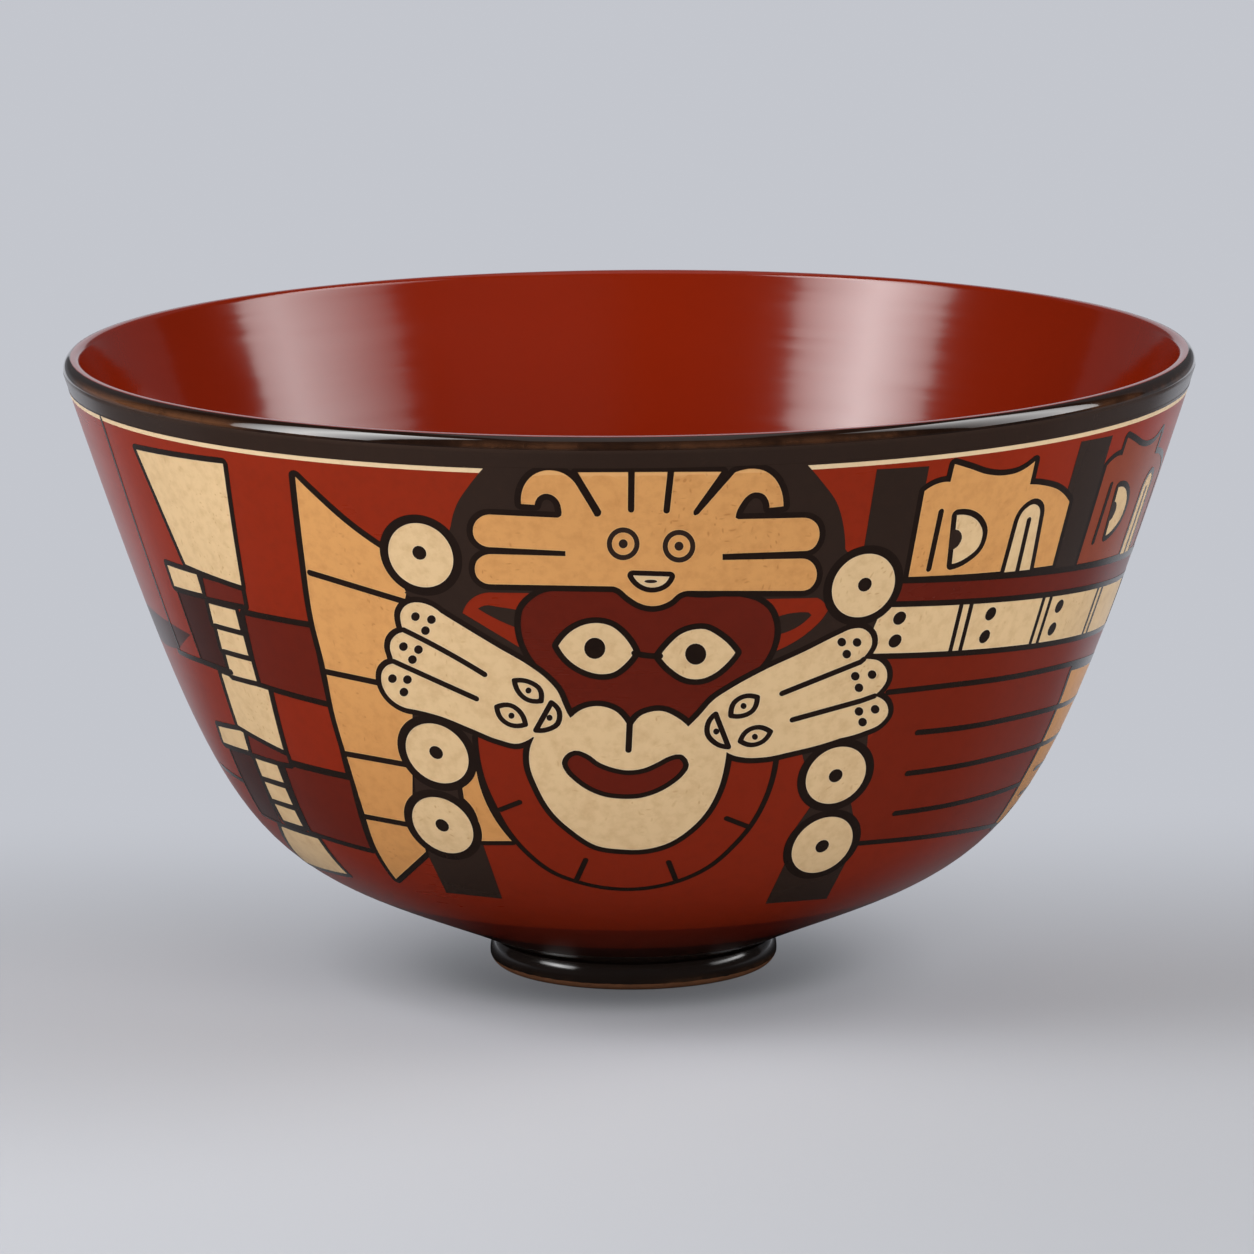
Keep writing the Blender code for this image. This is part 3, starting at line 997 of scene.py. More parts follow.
# Slip grain: clouding, fine grain and fibre flecks in a burnished slip
grainForm = {
    "cloud": (26, 4),                   # scale and detail of each noise
    "grain": (560, 4),
    "gather": (70, 2),
    "bend": (160, 1),
    "roughness": 0.6,
    "grainMiddle": 0.55,
    "grainShade": -0.25,                # specks are darker by this share
    "mottle": 2.0,                      # and turn toward the fleck colour by this one
    "bendReach": 0.004,
    "fibres": (((1.0, 3.2, 3.2), 0.5, 3.1), ((3.0, 3.0, 1.0), -0.4, 8.7)),    # stretch, turn, offset
    "fibreScale": 290,
    "fibreEdge": (0.20, 0.07),
    "gatherEdge": (0.40, 0.66),         # fibres lie where this noise is high
    "dent": 0.3,
}


def makeSlipGrain():
    form, number, colour = grainForm, "NodeSocketFloat", "NodeSocketColor"
    group, given, made = newGroup(
        "slipGrain",
        [("Colour", colour, (1, 1, 1, 1)), ("Fleck", colour, (0, 0, 0, 1)), ("Clouding", number, 0.1),
         ("Flecks", number, 0.3), ("Grain", number, 0.05), ("Seed", number, 0.0)],
        [("Colour", colour), ("Height", number), ("Gloss", number)],
    )
    seed, flecks = given["Seed"], given["Flecks"]
    place = vectorNode(group, "ADD", objectPlace(group), joinVector(group, X=seed, Y=seed, Z=seed))
    cloud = noiseNode(group, place, *form["cloud"], form["roughness"])[0]
    grain = noiseNode(group, place, *form["grain"], form["roughness"])[0]
    shade = mathNode(group, "MULTIPLY", mathNode(group, "SUBTRACT", cloud, 0.5), given["Clouding"])
    speck = mathNode(group, "SUBTRACT", form["grainMiddle"], grain)
    speck = mathNode(group, "MULTIPLY", speck, given["Grain"])
    value = mathNode(group, "MULTIPLY_ADD", speck, form["grainShade"], mathNode(group, "ADD", shade, 1.0))
    colour = scaleVector(group, given["Colour"], value)
    mottle = mathNode(group, "MULTIPLY", speck, form["mottle"], clamp=True)
    colour = mixColours(group, mottle, colour, given["Fleck"])
    marks = []
    for stretch, turn, away in form["fibres"]:
        bent = noiseNode(group, place, *form["bend"])[1]
        where = vectorNode(group, "MULTIPLY_ADD", bent, (form["bendReach"],) * 3, place)
        links = {"Vector": where, "Location": (away,) * 3, "Rotation": (turn,) * 3, "Scale": stretch}
        where = addNode(group, "ShaderNodeMapping", links).outputs[0]
        links = {"Vector": where, "Scale": form["fibreScale"]}
        cells = addNode(group, "ShaderNodeTexVoronoi", links).outputs["Distance"]
        marks.append(ramp(group, cells, *form["fibreEdge"]))
    gathered = noiseNode(group, place, *form["gather"], form["roughness"])[0]
    fibres = mathNode(group, "MAXIMUM", *marks)
    fibres = mathNode(group, "MULTIPLY", fibres, ramp(group, gathered, *form["gatherEdge"]))
    stainedOrShaded = mathNode(group, "MULTIPLY", fibres, flecks, clamp=True)
    group.links.new(mixColours(group, stainedOrShaded, colour, given["Fleck"]), made["Colour"])
    dents = mathNode(group, "MULTIPLY", fibres, mathNode(group, "MULTIPLY", flecks, form["dent"]))
    group.links.new(mathNode(group, "SUBTRACT", grain, dents), made["Height"])
    group.links.new(mathNode(group, "ADD", cloud, dents), made["Gloss"])
    return group


# Level marks of the polishing stone run round the turning axis
markForm = {"fine": (1.0, 3.0), "broad": (0.22, 2.0)}       # scale and detail of each noise


def levelMarks(group, given):
    x, y, z = splitVector(group, objectPlace(group))
    outward = vectorNode(group, "NORMALIZE", joinVector(group, X=x, Y=y))
    around = scaleVector(group, outward, given["Length"])
    rise = joinVector(group, Z=mathNode(group, "MULTIPLY", z, given["Fineness"]))
    return outward, vectorNode(group, "ADD", around, rise)


# Burnish: fine streaks
def makeBurnish():
    number = "NodeSocketFloat"
    group, given, made = newGroup(
        "burnish",
        [("Fineness", number, 700.0), ("Length", number, 6.0)],
        [("Height", number), ("Gloss", number)],
    )
    _, where = levelMarks(group, given)
    fine = noiseNode(group, where, *markForm["fine"])[0]
    broad = noiseNode(group, where, *markForm["broad"])[0]
    group.links.new(mathNode(group, "ADD", fine, broad), made["Height"])
    group.links.new(mathNode(group, "MULTIPLY", fine, broad), made["Gloss"])
    return group


# Polish sway: longer strokes that turn the normal a little round the axis
def makePolishSway():
    number, vector = "NodeSocketFloat", "NodeSocketVector"
    group, given, made = newGroup(
        "polishSway",
        [("Normal", vector, (0, 0, 1)), ("Fineness", number, 800.0), ("Length", number, 3.0),
         ("Amount", number, 0.05)],
        [("Normal", vector)],
    )
    outward, where = levelMarks(group, given)
    strokes = noiseNode(group, where, *markForm["fine"])[0]
    lean = mathNode(group, "MULTIPLY", mathNode(group, "SUBTRACT", strokes, 0.5), given["Amount"])
    along = vectorNode(group, "CROSS_PRODUCT", outward, (0, 0, 1))
    leant = vectorNode(group, "MULTIPLY_ADD", along, lean, given["Normal"])
    group.links.new(vectorNode(group, "NORMALIZE", leant), made["Normal"])
    return group


# Rubbed edge: a broken line of wear at one height, and a patch where a hand held it
rubForm = {
    "patches": (5.0, 0.7),              # detail and roughness of the noise
    "heldSpan": (0.94, 0.985),          # cosine of the angle from the held side
    "heldPatches": (0.25, 0.5),
    "strayPatches": (0.42, 0.68),
}


def makeRubbedEdge():
    form, number = rubForm, "NodeSocketFloat"
    group, given, made = newGroup(
        "rubbedEdge",
        [("Level", number, 0.0), ("Spread", number, 0.001), ("Patchiness", number, 60.0),
         ("Amount", number, 0.5), ("Toward", "NodeSocketVector", (0, 0, 0))],
        [("Mask", number)],
    )
    place = objectPlace(group)
    height = splitVector(group, place)[2]
    away = mathNode(group, "ABSOLUTE", mathNode(group, "SUBTRACT", height, given["Level"]))
    away = mathNode(group, "DIVIDE", away, given["Spread"])
    close = mathNode(group, "SUBTRACT", 1.0, away, clamp=True)
    patches = noiseNode(group, place, given["Patchiness"], *form["patches"])[0]
    outward = vectorNode(group, "NORMALIZE", vectorNode(group, "MULTIPLY", place, (1, 1, 0)))
    facing = vectorNode(group, "DOT_PRODUCT", outward, given["Toward"], output="Value")
    held = ramp(group, facing, *form["heldSpan"])
    held = mathNode(group, "MULTIPLY", held, ramp(group, patches, *form["heldPatches"]))
    stray = mathNode(group, "MULTIPLY", ramp(group, patches, *form["strayPatches"]), given["Amount"])
    mask = mathNode(group, "MULTIPLY", close, mathNode(group, "MAXIMUM", held, stray), clamp=True)
    group.links.new(mask, made["Mask"])
    return group


slipGrain = makeSlipGrain()
burnish = makeBurnish()
polishSway = makePolishSway()
rubbedEdge = makeRubbedEdge()


def useGroup(tree, group, **values):
    return addNode(tree, "ShaderNodeGroup", values, node_tree=group).outputs


def rgba(colour):
    return (*colour, 1.0)


# Finishes: colour is the slip under plain white light, and a lower colour is painted shade that darkens the
# slip toward the bottom of the wall
slipFinish = {
    "red": {
        "colour": (0.248, 0.0195, 0.0045), "fleck": (0.10, 0.012, 0.004), "clouding": 0.12,
        "flecks": 0.04, "grain": 0.24, "roughness": 0.30, "seed": 1.3,
        # painted shade: the red ground is darker low on the wall, where it turns away from the light
        "lower": (0.212, 0.0172, 0.0042), "lowerSpan": (0.054, 0.076),
    },
    "scarlet": {
        "colour": (0.232, 0.0185, 0.0046), "fleck": (0.10, 0.012, 0.004), "clouding": 0.12,
        "flecks": 0.04, "grain": 0.24, "roughness": 0.30, "seed": 1.9,
    },
    "brick": {
        "colour": (0.166, 0.0145, 0.0040), "fleck": (0.08, 0.010, 0.004), "clouding": 0.12,
        "flecks": 0.04, "grain": 0.24, "roughness": 0.30, "seed": 2.1,
    },
    "russet": {
        "colour": (0.235, 0.042, 0.015), "fleck": (0.12, 0.02, 0.008), "clouding": 0.14,
        "flecks": 0.2, "grain": 0.24, "roughness": 0.30, "seed": 2.3,
    },
    "umber": {
        "colour": (0.040, 0.0075, 0.0042), "fleck": (0.10, 0.02, 0.010), "clouding": 0.30,
        "flecks": 0.2, "grain": 0.24, "roughness": 0.30, "seed": 2.9,
    },
    "maroon": {
        "colour": (0.124, 0.0125, 0.0055), "fleck": (0.04, 0.008, 0.005), "clouding": 0.20,
        "flecks": 0.06, "grain": 0.26, "roughness": 0.30, "seed": 4.1,
    },
    "cream": {
        "colour": (0.692, 0.480, 0.256), "fleck": (0.47, 0.255, 0.105), "clouding": 0.17,
        "flecks": 0.65, "grain": 0.55, "roughness": 0.36, "seed": 5.7, "edge": (0.76, 0.58, 0.37),
    },
    "tan": {
        "colour": (0.630, 0.302, 0.098), "fleck": (0.42, 0.165, 0.046), "clouding": 0.16,
        "flecks": 0.7, "grain": 0.52, "roughness": 0.36, "seed": 7.3, "edge": (0.72, 0.40, 0.16),
        # painted shade: the tan is darker low on the wall, where it turns away from the light
        "lower": (0.590, 0.270, 0.083), "lowerSpan": (0.036, 0.064),
    },
    "black": {
        "colour": (0.0285, 0.0165, 0.0120), "fleck": (0.05, 0.025, 0.016), "clouding": 0.30,
        "flecks": 0.2, "grain": 0.22, "roughness": 0.22, "seed": 8.9,
    },
    "ink": {
        "colour": (0.0150, 0.0085, 0.0062), "fleck": (0.04, 0.020, 0.012), "clouding": 0.30,
        "flecks": 0.2, "grain": 0.22, "roughness": 0.22, "seed": 9.3,
    },
}
burnishMarks = {"bump": 0.02, "bumpDepth": 0.00003, "streakShare": 0.10, "glossSpread": 0.06, "ior": 1.27}


def shaderOf(material):
    return material.node_tree.nodes["Principled BSDF"]


def newMaterial(name):
    material = bpy.data.materials.new(name)
    material.use_nodes = True
    return material, material.node_tree, shaderOf(material)


def finishSurface(tree, shader, grain, streaks, roughness):
    marks = burnishMarks
    streaked = mathNode(tree, "MULTIPLY", streaks["Height"], marks["streakShare"])
    height = mathNode(tree, "ADD", grain["Height"], streaked)
    gloss = mathNode(tree, "ADD", grain["Gloss"], streaks["Gloss"])
    spread = mathNode(tree, "MULTIPLY", mathNode(tree, "SUBTRACT", gloss, 1.0), marks["glossSpread"])
    tree.links.new(mathNode(tree, "ADD", spread, roughness, clamp=True), shader.inputs["Roughness"])
    links = {"Height": height, "Strength": marks["bump"], "Distance": marks["bumpDepth"]}
    tree.links.new(addNode(tree, "ShaderNodeBump", links).outputs[0], shader.inputs["Normal"])


def slipMaterial(name, finish):
    material, tree, shader = newMaterial(name)
    body = rgba(finish["colour"])
    # painted shade: the slip blends to its darker lower colour toward the bottom of the wall
    if "lower" in finish:
        height = splitVector(tree, objectPlace(tree))[2]
        body = mixColours(tree, ramp(tree, height, *finish["lowerSpan"]), rgba(finish["lower"]), body)
    grain = useGroup(
        tree, slipGrain, Colour=body, Fleck=rgba(finish["fleck"]), Clouding=finish["clouding"],
        Flecks=finish["flecks"], Grain=finish["grain"], Seed=finish["seed"],
    )
    colour = grain["Colour"]
    if "edge" in finish:
        away = addNode(tree, "ShaderNodeAttribute", attribute_name="edgeAway").outputs["Fac"]
        colour = mixColours(tree, ramp(tree, away, brush["halo"], 0.0), colour, rgba(finish["edge"]))
    tree.links.new(colour, shader.inputs["Base Color"])
    finishSurface(tree, shader, grain, useGroup(tree, burnish), finish["roughness"])
    shader.inputs["IOR"].default_value = finish.get("ior", burnishMarks["ior"])
    return material


slipMaterials = {slip: slipMaterial(f"{slip}Slip", slipFinish[slip]) for slip in coatLook["names"]}
for slip, material in slipMaterials.items():
    addPiece(coatShell(slip), material, "bowl_body")
print("coats laid")


# Turned pieces: a profile swung round the axis by nodes
wheel = {
    "sides": 256,
    "merge": 0.000002,
    "sharp": math.radians(35),
    "ragged": (24.0, 3.0),              # scale and detail of the noise on a ragged edge
}


def makeWheelTree():
    tree = bpy.data.node_groups.new("turnOnWheel", "GeometryNodeTree")
    sockets = {}
    for label, kind in (("Profile", "Geometry"), ("Sides", "Int"), ("Edge Row", "Int"),
                        ("Ragged", "Float"), ("Seed", "Float"), ("Finish", "Material")):
        socket = tree.interface.new_socket(label, in_out="INPUT", socket_type=f"NodeSocket{kind}")
        sockets[label] = socket.identifier
    tree.interface.new_socket("Piece", in_out="OUTPUT", socket_type="NodeSocketGeometry")
    given = tree.nodes.new("NodeGroupInput").outputs
    made = tree.nodes.new("NodeGroupOutput").inputs
    profile = given["Profile"]
    rows = addNode(tree, "GeometryNodeAttributeDomainSize", {0: profile}).outputs["Point Count"]
    columns = mathNode(tree, "ADD", given["Sides"], 1.0)
    sheet = addNode(tree, "GeometryNodeMeshGrid", {"Vertices X": columns, "Vertices Y": rows}).outputs[0]
    place = addNode(tree, "GeometryNodeInputPosition").outputs[0]
    across, up, _ = splitVector(tree, place)
    lastRow = mathNode(tree, "SUBTRACT", rows, 1.0)
    row = mathNode(tree, "MULTIPLY", mathNode(tree, "ADD", up, 0.5), lastRow)
    row = mathNode(tree, "ROUND", row)
    angle = mathNode(tree, "MULTIPLY", mathNode(tree, "ADD", across, 0.5), math.tau)
    cosine, sine = mathNode(tree, "COSINE", angle), mathNode(tree, "SINE", angle)

    def profileAt(index):
        links = {"Geometry": profile, "Value": place, "Index": index}
        settings = {"data_type": "FLOAT_VECTOR", "domain": "POINT"}
        return addNode(tree, "GeometryNodeSampleIndex", links, **settings).outputs[0]

    scale, detail = wheel["ragged"]
    around = joinVector(tree, X=cosine, Y=sine)
    links = {"Vector": around, "W": given["Seed"], "Scale": scale, "Detail": detail}
    uneven = addNode(tree, "ShaderNodeTexNoise", links, noise_dimensions="4D").outputs[0]
    onEdge = mathNode(tree, "COMPARE", row, given["Edge Row"], 0.5)
    slide = mathNode(tree, "MULTIPLY", mathNode(tree, "MULTIPLY", onEdge, given["Ragged"]), uneven)
    links = {0: slide, 4: profileAt(row), 5: profileAt(mathNode(tree, "ADD", row, 1.0))}
    point = addNode(tree, "ShaderNodeMix", links, data_type="VECTOR").outputs[1]
    radius, _, height = splitVector(tree, point)
    x, y = mathNode(tree, "MULTIPLY", radius, cosine), mathNode(tree, "MULTIPLY", radius, sine)
    links = {"Geometry": sheet, "Position": joinVector(tree, X=x, Y=y, Z=height)}
    piece = addNode(tree, "GeometryNodeSetPosition", links).outputs[0]
    links = {"Geometry": piece, "Distance": wheel["merge"]}
    piece = addNode(tree, "GeometryNodeMergeByDistance", links).outputs[0]
    piece = addNode(tree, "GeometryNodeRealizeInstances", {"Geometry": piece}).outputs[0]
    links = {"Geometry": piece, "Material": given["Finish"]}
    piece = addNode(tree, "GeometryNodeSetMaterial", links).outputs[0]
    tree.links.new(piece, made["Piece"])
    return tree, sockets


wheelTree, wheelSockets = makeWheelTree()


def turnOnWheel(name, profile, material, node, edgeRow=-1, ragged=0.0, seed=0.0):
    line = bpy.data.meshes.new(f"{name}Profile")
    line.from_pydata([(r, 0, z) for r, z in profile], [(i, i + 1) for i in range(len(profile) - 1)], [])
    blank = bpy.data.objects.new(f"{name}Blank", line)
    bpy.context.scene.collection.objects.link(blank)
    modifier = blank.modifiers.new("turned", "NODES")
    modifier.node_group = wheelTree
    values = {
        "Sides": wheel["sides"], "Edge Row": edgeRow, "Ragged": ragged, "Seed": seed, "Finish": material,
    }
    for label, value in values.items():
        modifier[wheelSockets[label]] = value
    graph = bpy.context.evaluated_depsgraph_get()
    mesh = bpy.data.meshes.new_from_object(blank.evaluated_get(graph))
    blank.modifiers.remove(modifier)
    bpy.data.objects.remove(blank)
    mesh.name = name
    work = bmesh.new()
    work.from_mesh(mesh)
    bmesh.ops.remove_doubles(work, verts=work.verts, dist=wheel["merge"])
    bmesh.ops.recalc_face_normals(work, faces=work.faces)
    work.to_mesh(mesh)
    work.free()
    mesh.shade_smooth()
    mesh.set_sharp_from_angle(angle=wheel["sharp"])
    return addPiece(mesh, material, node)


def wallOffset(share, depth):
    index = np.asarray(share) * cupForm["wallSamples"]
    samples = np.arange(cupForm["wallSamples"] + 1)
    place = np.column_stack([np.interp(index, samples, wallLine[:, k]) for k in (0, 1)])
    normal = np.column_stack([np.interp(index, samples, wallNormal[:, k]) for k in (0, 1)])
    return place - normal * np.asarray(depth)[:, None]


def innerLine(share, sunk=0.0):
    form, share = cupForm, np.asarray(share)
    thin = (1 - np.clip(share / form["lipTaper"], 0, 1)) ** 2
    depth = form["wall"] + (form["lipWall"] - form["wall"]) * thin
    depth = depth + (form["baseWall"] - form["wall"]) * share ** 2
    return wallOffset(share, depth - sunk)


def bendPoints(start, corner, end, steps):
    t = np.linspace(0, 1, steps)[:, None]
    return (1 - t) ** 2 * start + 2 * t * (1 - t) * corner + t * t * end


def arcPoints(centre, across, high, start, end, count):
    angles = np.radians(np.linspace(start, end, count))
    return np.column_stack((centre[0] + across * np.cos(angles), centre[1] + high * np.sin(angles)))


lip = {
    "blackFrom": 74.0,                  # degrees up the bead where the black begins
    "crease": 0.00004,
    "creaseHalf": 3.0,                  # degrees
    "rowSteps": 18,
    "backSteps": 5,
    "bandSteps": (10, 4),               # down the face and up the back
    "thickness": 0.0007,
    "ragged": 0.8,
    "underBlack": 25.0,                 # degrees that the inner slip runs on under the black
}

lipFlare = np.array((math.sin(cupForm["flare"]), math.cos(cupForm["flare"])))
innerTop = innerLine([0.0])[0]
crestHeight = cupForm["height"] - cupForm["crestDrop"]
lipCorner = innerTop + lipFlare * (crestHeight - innerTop[1]) / lipFlare[1]
crest = np.array((lipCorner[0] + cupForm["lipEdge"], crestHeight))
beadCentre = np.array((crest[0], crestHeight - cupForm["beadHigh"]))
beadAcross = cupForm["rimRadius"] - crest[0]
jointShare = np.interp(layout["joint"] / 1000, wallDown, wallShare)


def bead(start, end, count, shrink=0.0):
    return arcPoints(beadCentre, beadAcross - shrink, cupForm["beadHigh"] - shrink, start, end, count)


def lipRollProfile():
    top = bead(lip["blackFrom"], lip["creaseHalf"], lip["rowSteps"])
    crease = bead(0, 0, 1, shrink=lip["crease"])
    inside = bead(0, lip["blackFrom"], lip["backSteps"], shrink=lip["thickness"])
    return np.vstack((inside[-1:], top, crease, inside))


def lipBandProfile():
    down, up = lip["bandSteps"]
    crease = bead(0, 0, 1, shrink=lip["crease"])
    face = wallOffset(np.linspace(0, jointShare, down), np.zeros(down))
    back = wallOffset(np.linspace(jointShare, 0, up), np.full(up, lip["thickness"]))
    inside = bead(0, 0, 1, shrink=lip["thickness"])
    return np.vstack((inside, crease, face, back, inside))


innerCoat = {
    "thickness": 0.0005,
    "sunk": 0.00002,                    # where it runs on under the lip's black
    "flatSteps": 4,
    "bendSteps": 8,
    "wallSteps": 60,
    "overSteps": 8,
    "backSteps": (4, 30),               # under the lip and down the wall
}
clayCore = {
    "gap": 0.0003,                      # under both faces of the wall
    "lipGap": 0.0006,
    "lipTo": 20,                        # degrees up the bead
    "steps": (30, 6, 60),               # up the inside, over the lip and down the outside
}
floorReach = cupForm["floorDish"] / math.tan(cupForm["undersideRise"])


def innerProfile():
    part, thick = innerCoat, innerCoat["thickness"]
    floorEnd = innerLine([1.0])[0]
    floorHeight = floorEnd[1] - cupForm["floorDish"]
    corner = np.array((floorEnd[0] - floorReach, floorHeight))
    edge = corner - (floorReach, 0)
    flatRadii = np.linspace(0, edge[0], part["flatSteps"] + 1)[:-1]
    flat = np.column_stack((flatRadii, np.full(part["flatSteps"], floorHeight)))
    dish = bendPoints(edge, corner, floorEnd, part["bendSteps"])
    wall = innerLine(np.linspace(1, 0, part["wallSteps"]))
    start = lipCorner - lipFlare * cupForm["lipEdge"]
    rounded = bendPoints(start, lipCorner, crest, part["bendSteps"])
    coatEnd = lip["blackFrom"] - lip["underBlack"]
    over = bead(90, coatEnd, part["overSteps"], shrink=part["sunk"])[1:]
    lipSteps, wallSteps = part["backSteps"]
    under = np.vstack((
        bead(coatEnd, 90, lipSteps, shrink=thick),
        innerLine(np.linspace(0, 1, wallSteps), thick),
        [(corner[0], floorHeight - thick), (0, floorHeight - thick)],
    ))
    return np.vstack((flat, dish[:-1], wall, rounded[:-1], over, under)), floorHeight


def coreProfile(floorHeight):
    gap = clayCore["gap"]
    insideSteps, lipSteps, outsideSteps = clayCore["steps"]
    inside = innerLine(np.linspace(1, 0, insideSteps), gap)
    outside = wallOffset(np.linspace(0, 1, outsideSteps), np.full(outsideSteps, gap))
    return np.vstack((
        [(0, floorHeight - gap), (inside[0][0] - floorReach, floorHeight - gap)],
        inside,
        bead(90, clayCore["lipTo"], lipSteps, shrink=clayCore["lipGap"]),
        outside,
        [(cupForm["seatRadius"] - gap, cupForm["seatHeight"]), (0, cupForm["seatHeight"])],
    ))


foot = {
    "radius": footHigh.x + 0.0005,
    "bore": footHigh.x - 0.0056,
    "waist": 0.0018,                    # height of the widest point
    "bulge": (0.0044, 0.0044),          # half axes of the face above it
    "toe": (0.0015, 0.0018),            # and below it
    "waistStep": 6,                     # degrees from the widest point to the next row
    "innerEdge": 0.0006,
    "edgeCut": 0.0002,
    "setIn": 0.0004,                    # the clay goes this far up into the bowl
    "crownWidth": 0.002,
    "coat": 0.00025,
    "clayUnder": 0.8,                   # of the coat's thickness
    "proud": 0.00003,                   # the slip's edge stands out by this
    "ledge": 0.0003,                    # and its top goes this far in under the bowl
    "bareTo": 0.0011,                   # the slip stops about here above the table
    "clayStep": (12, 8),                # degrees over the slip's edge where the clay steps out
    "slipStep": (-6, 8, 14, 6),         # degrees over it: edge, its top, the face, and the back
    "clayRows": (7, 3, 9),              # over the waist, under it, and bare
    "slipRows": (2, 5, 10),             # edge, under the waist and over it
    "backRows": (5, 4),
    "ragged": 0.9,
}
footTop = math.degrees(math.asin((cupForm["seatHeight"] - foot["waist"]) / foot["bulge"][1]))
footBare = -math.degrees(math.asin(1 - foot["bareTo"] / foot["waist"]))


def footFace(start, end, count, sink=0.0):
    across, high = foot["bulge"] if start > 0 else foot["toe"]
    centre = (foot["radius"] - across, foot["waist"])
    return arcPoints(centre, across - sink, high - sink, start, end, count)


def footClayProfile():
    part, bore, edge = foot, foot["bore"], foot["innerEdge"]
    top, sunk = cupForm["seatHeight"] + part["setIn"], part["coat"] * part["clayUnder"]
    crown = (bore + part["crownWidth"], top)
    stepIn, stepOut = (footBare + step for step in part["clayStep"])
    overRows, underRows, bareRows = part["clayRows"]
    return np.vstack((
        [crown, (cupForm["seatRadius"], cupForm["seatHeight"] - sunk)],
        footFace(footTop, part["waistStep"], overRows, sink=sunk),
        footFace(0, stepIn, underRows, sink=sunk),
        footFace(stepOut, -90, bareRows),
        [(bore + edge, 0), (bore + part["edgeCut"], part["edgeCut"]), (bore, edge), (bore, top), crown],
    ))


def footCoatProfile():
    part, coat, seatHeight = foot, foot["coat"], cupForm["seatHeight"]
    ledge = cupForm["seatRadius"] - part["ledge"]
    low, lowTop, faceLow, backLow = (footBare + step for step in part["slipStep"])
    edgeRows, underRows, overRows = part["slipRows"]
    edge = footFace(low, lowTop, edgeRows, sink=-part["proud"])
    over = footFace(footTop, part["waistStep"], overRows)
    face = np.vstack((footFace(faceLow, 0, underRows), over[::-1]))
    overRows, underRows = part["backRows"]
    behind = np.vstack((
        footFace(footTop, part["waistStep"], overRows, sink=coat),
        footFace(0, backLow, underRows, sink=coat),
    ))
    seat = [(ledge, seatHeight), (ledge, seatHeight - coat)]
    return np.vstack((behind[-1:], edge, face, seat, behind))


glossFinish = {
    "lip": {
        "colour": (0.0105, 0.0046, 0.0028), "fleck": (0.05, 0.022, 0.012), "clouding": 0.4,
        "flecks": 0.3, "grain": 0.15, "roughness": 0.07, "ior": 1.62, "seed": 11.0,
        "worn": (0.10, 0.040, 0.018), "level": crestHeight - 0.0013, "spread": 0.0008,
        "amount": 0.5, "heldAt": (-0.839, -0.545, 0),
    },
    "foot": {
        "colour": (0.0165, 0.0110, 0.0090), "fleck": (0.04, 0.02, 0.012), "clouding": 0.4,
        "flecks": 0.3, "grain": 0.15, "roughness": 0.14, "ior": 1.62, "seed": 13.0,
        "worn": (0.10, 0.045, 0.02), "level": foot["bareTo"], "spread": 0.0009,
        "amount": 0.8, "heldAt": (0, 0, 0),
    },
}
innerFinish = {
    "colour": (0.180, 0.0108, 0.0015), "fleck": (0.14, 0.010, 0.002), "clouding": 0.14,
    "flecks": 0.10, "grain": 0.14, "roughness": 0.14, "seed": 17.0, "ior": 1.6,
    "sway": 0.034, "specular": 0.5, "echoLoss": 0.85,       # echoes are reflections of reflections
}
clayFinish = {
    "colour": (0.200, 0.084, 0.040), "fleck": (0.06, 0.03, 0.018), "clouding": 0.5,
    "flecks": 0.6, "grain": 0.5, "roughness": 0.75, "seed": 19.0,
}


def wornMaterial(name, finish):
    material = slipMaterial(name, finish)
    tree, shader = material.node_tree, shaderOf(material)
    base = shader.inputs["Base Color"].links[0].from_socket
    mask = useGroup(
        tree, rubbedEdge, Level=finish["level"], Spread=finish["spread"], Amount=finish["amount"],
        Toward=finish["heldAt"],
    )["Mask"]
    tree.links.new(mixColours(tree, mask, base, rgba(finish["worn"])), shader.inputs["Base Color"])
    return material


def innerMaterial(name, finish):
    material = slipMaterial(name, finish)
    tree, shader = material.node_tree, shaderOf(material)
    bumped = shader.inputs["Normal"].links[0].from_socket
    leant = useGroup(tree, polishSway, Normal=bumped, Amount=finish["sway"])["Normal"]
    tree.links.new(leant, shader.inputs["Normal"])
    again = addNode(tree, "ShaderNodeLightPath").outputs["Is Glossy Ray"]
    plain = finish["specular"]
    specular = mathNode(tree, "MULTIPLY_ADD", again, -plain * finish["echoLoss"], plain)
    tree.links.new(specular, shader.inputs["Specular IOR Level"])
    return material


clay = slipMaterial("bareClay", clayFinish)
inner = innerMaterial("innerSlip", innerFinish)
lipSlip, footSlip = (wornMaterial(f"{place}Slip", glossFinish[place]) for place in ("lip", "foot"))
innerLook, floorHeight = innerProfile()
turnOnWheel("clay_core", coreProfile(floorHeight), clay, "bowl_body")
turnOnWheel("inner_coat", innerLook, inner, "bowl_body")
turnOnWheel(
    "lip_roll", lipRollProfile(), lipSlip, "rim_coil",
    edgeRow=1, ragged=lip["ragged"], seed=5.0,
)
turnOnWheel("lip_band", lipBandProfile(), slipMaterials["black"], "rim_coil")
turnOnWheel("foot_clay", footClayProfile(), clay, "foot_ring")
turnOnWheel(
    "foot_coat", footCoatProfile(), footSlip, "foot_ring",
    edgeRow=1, ragged=foot["ragged"], seed=9.0,
)
print("clay turned")

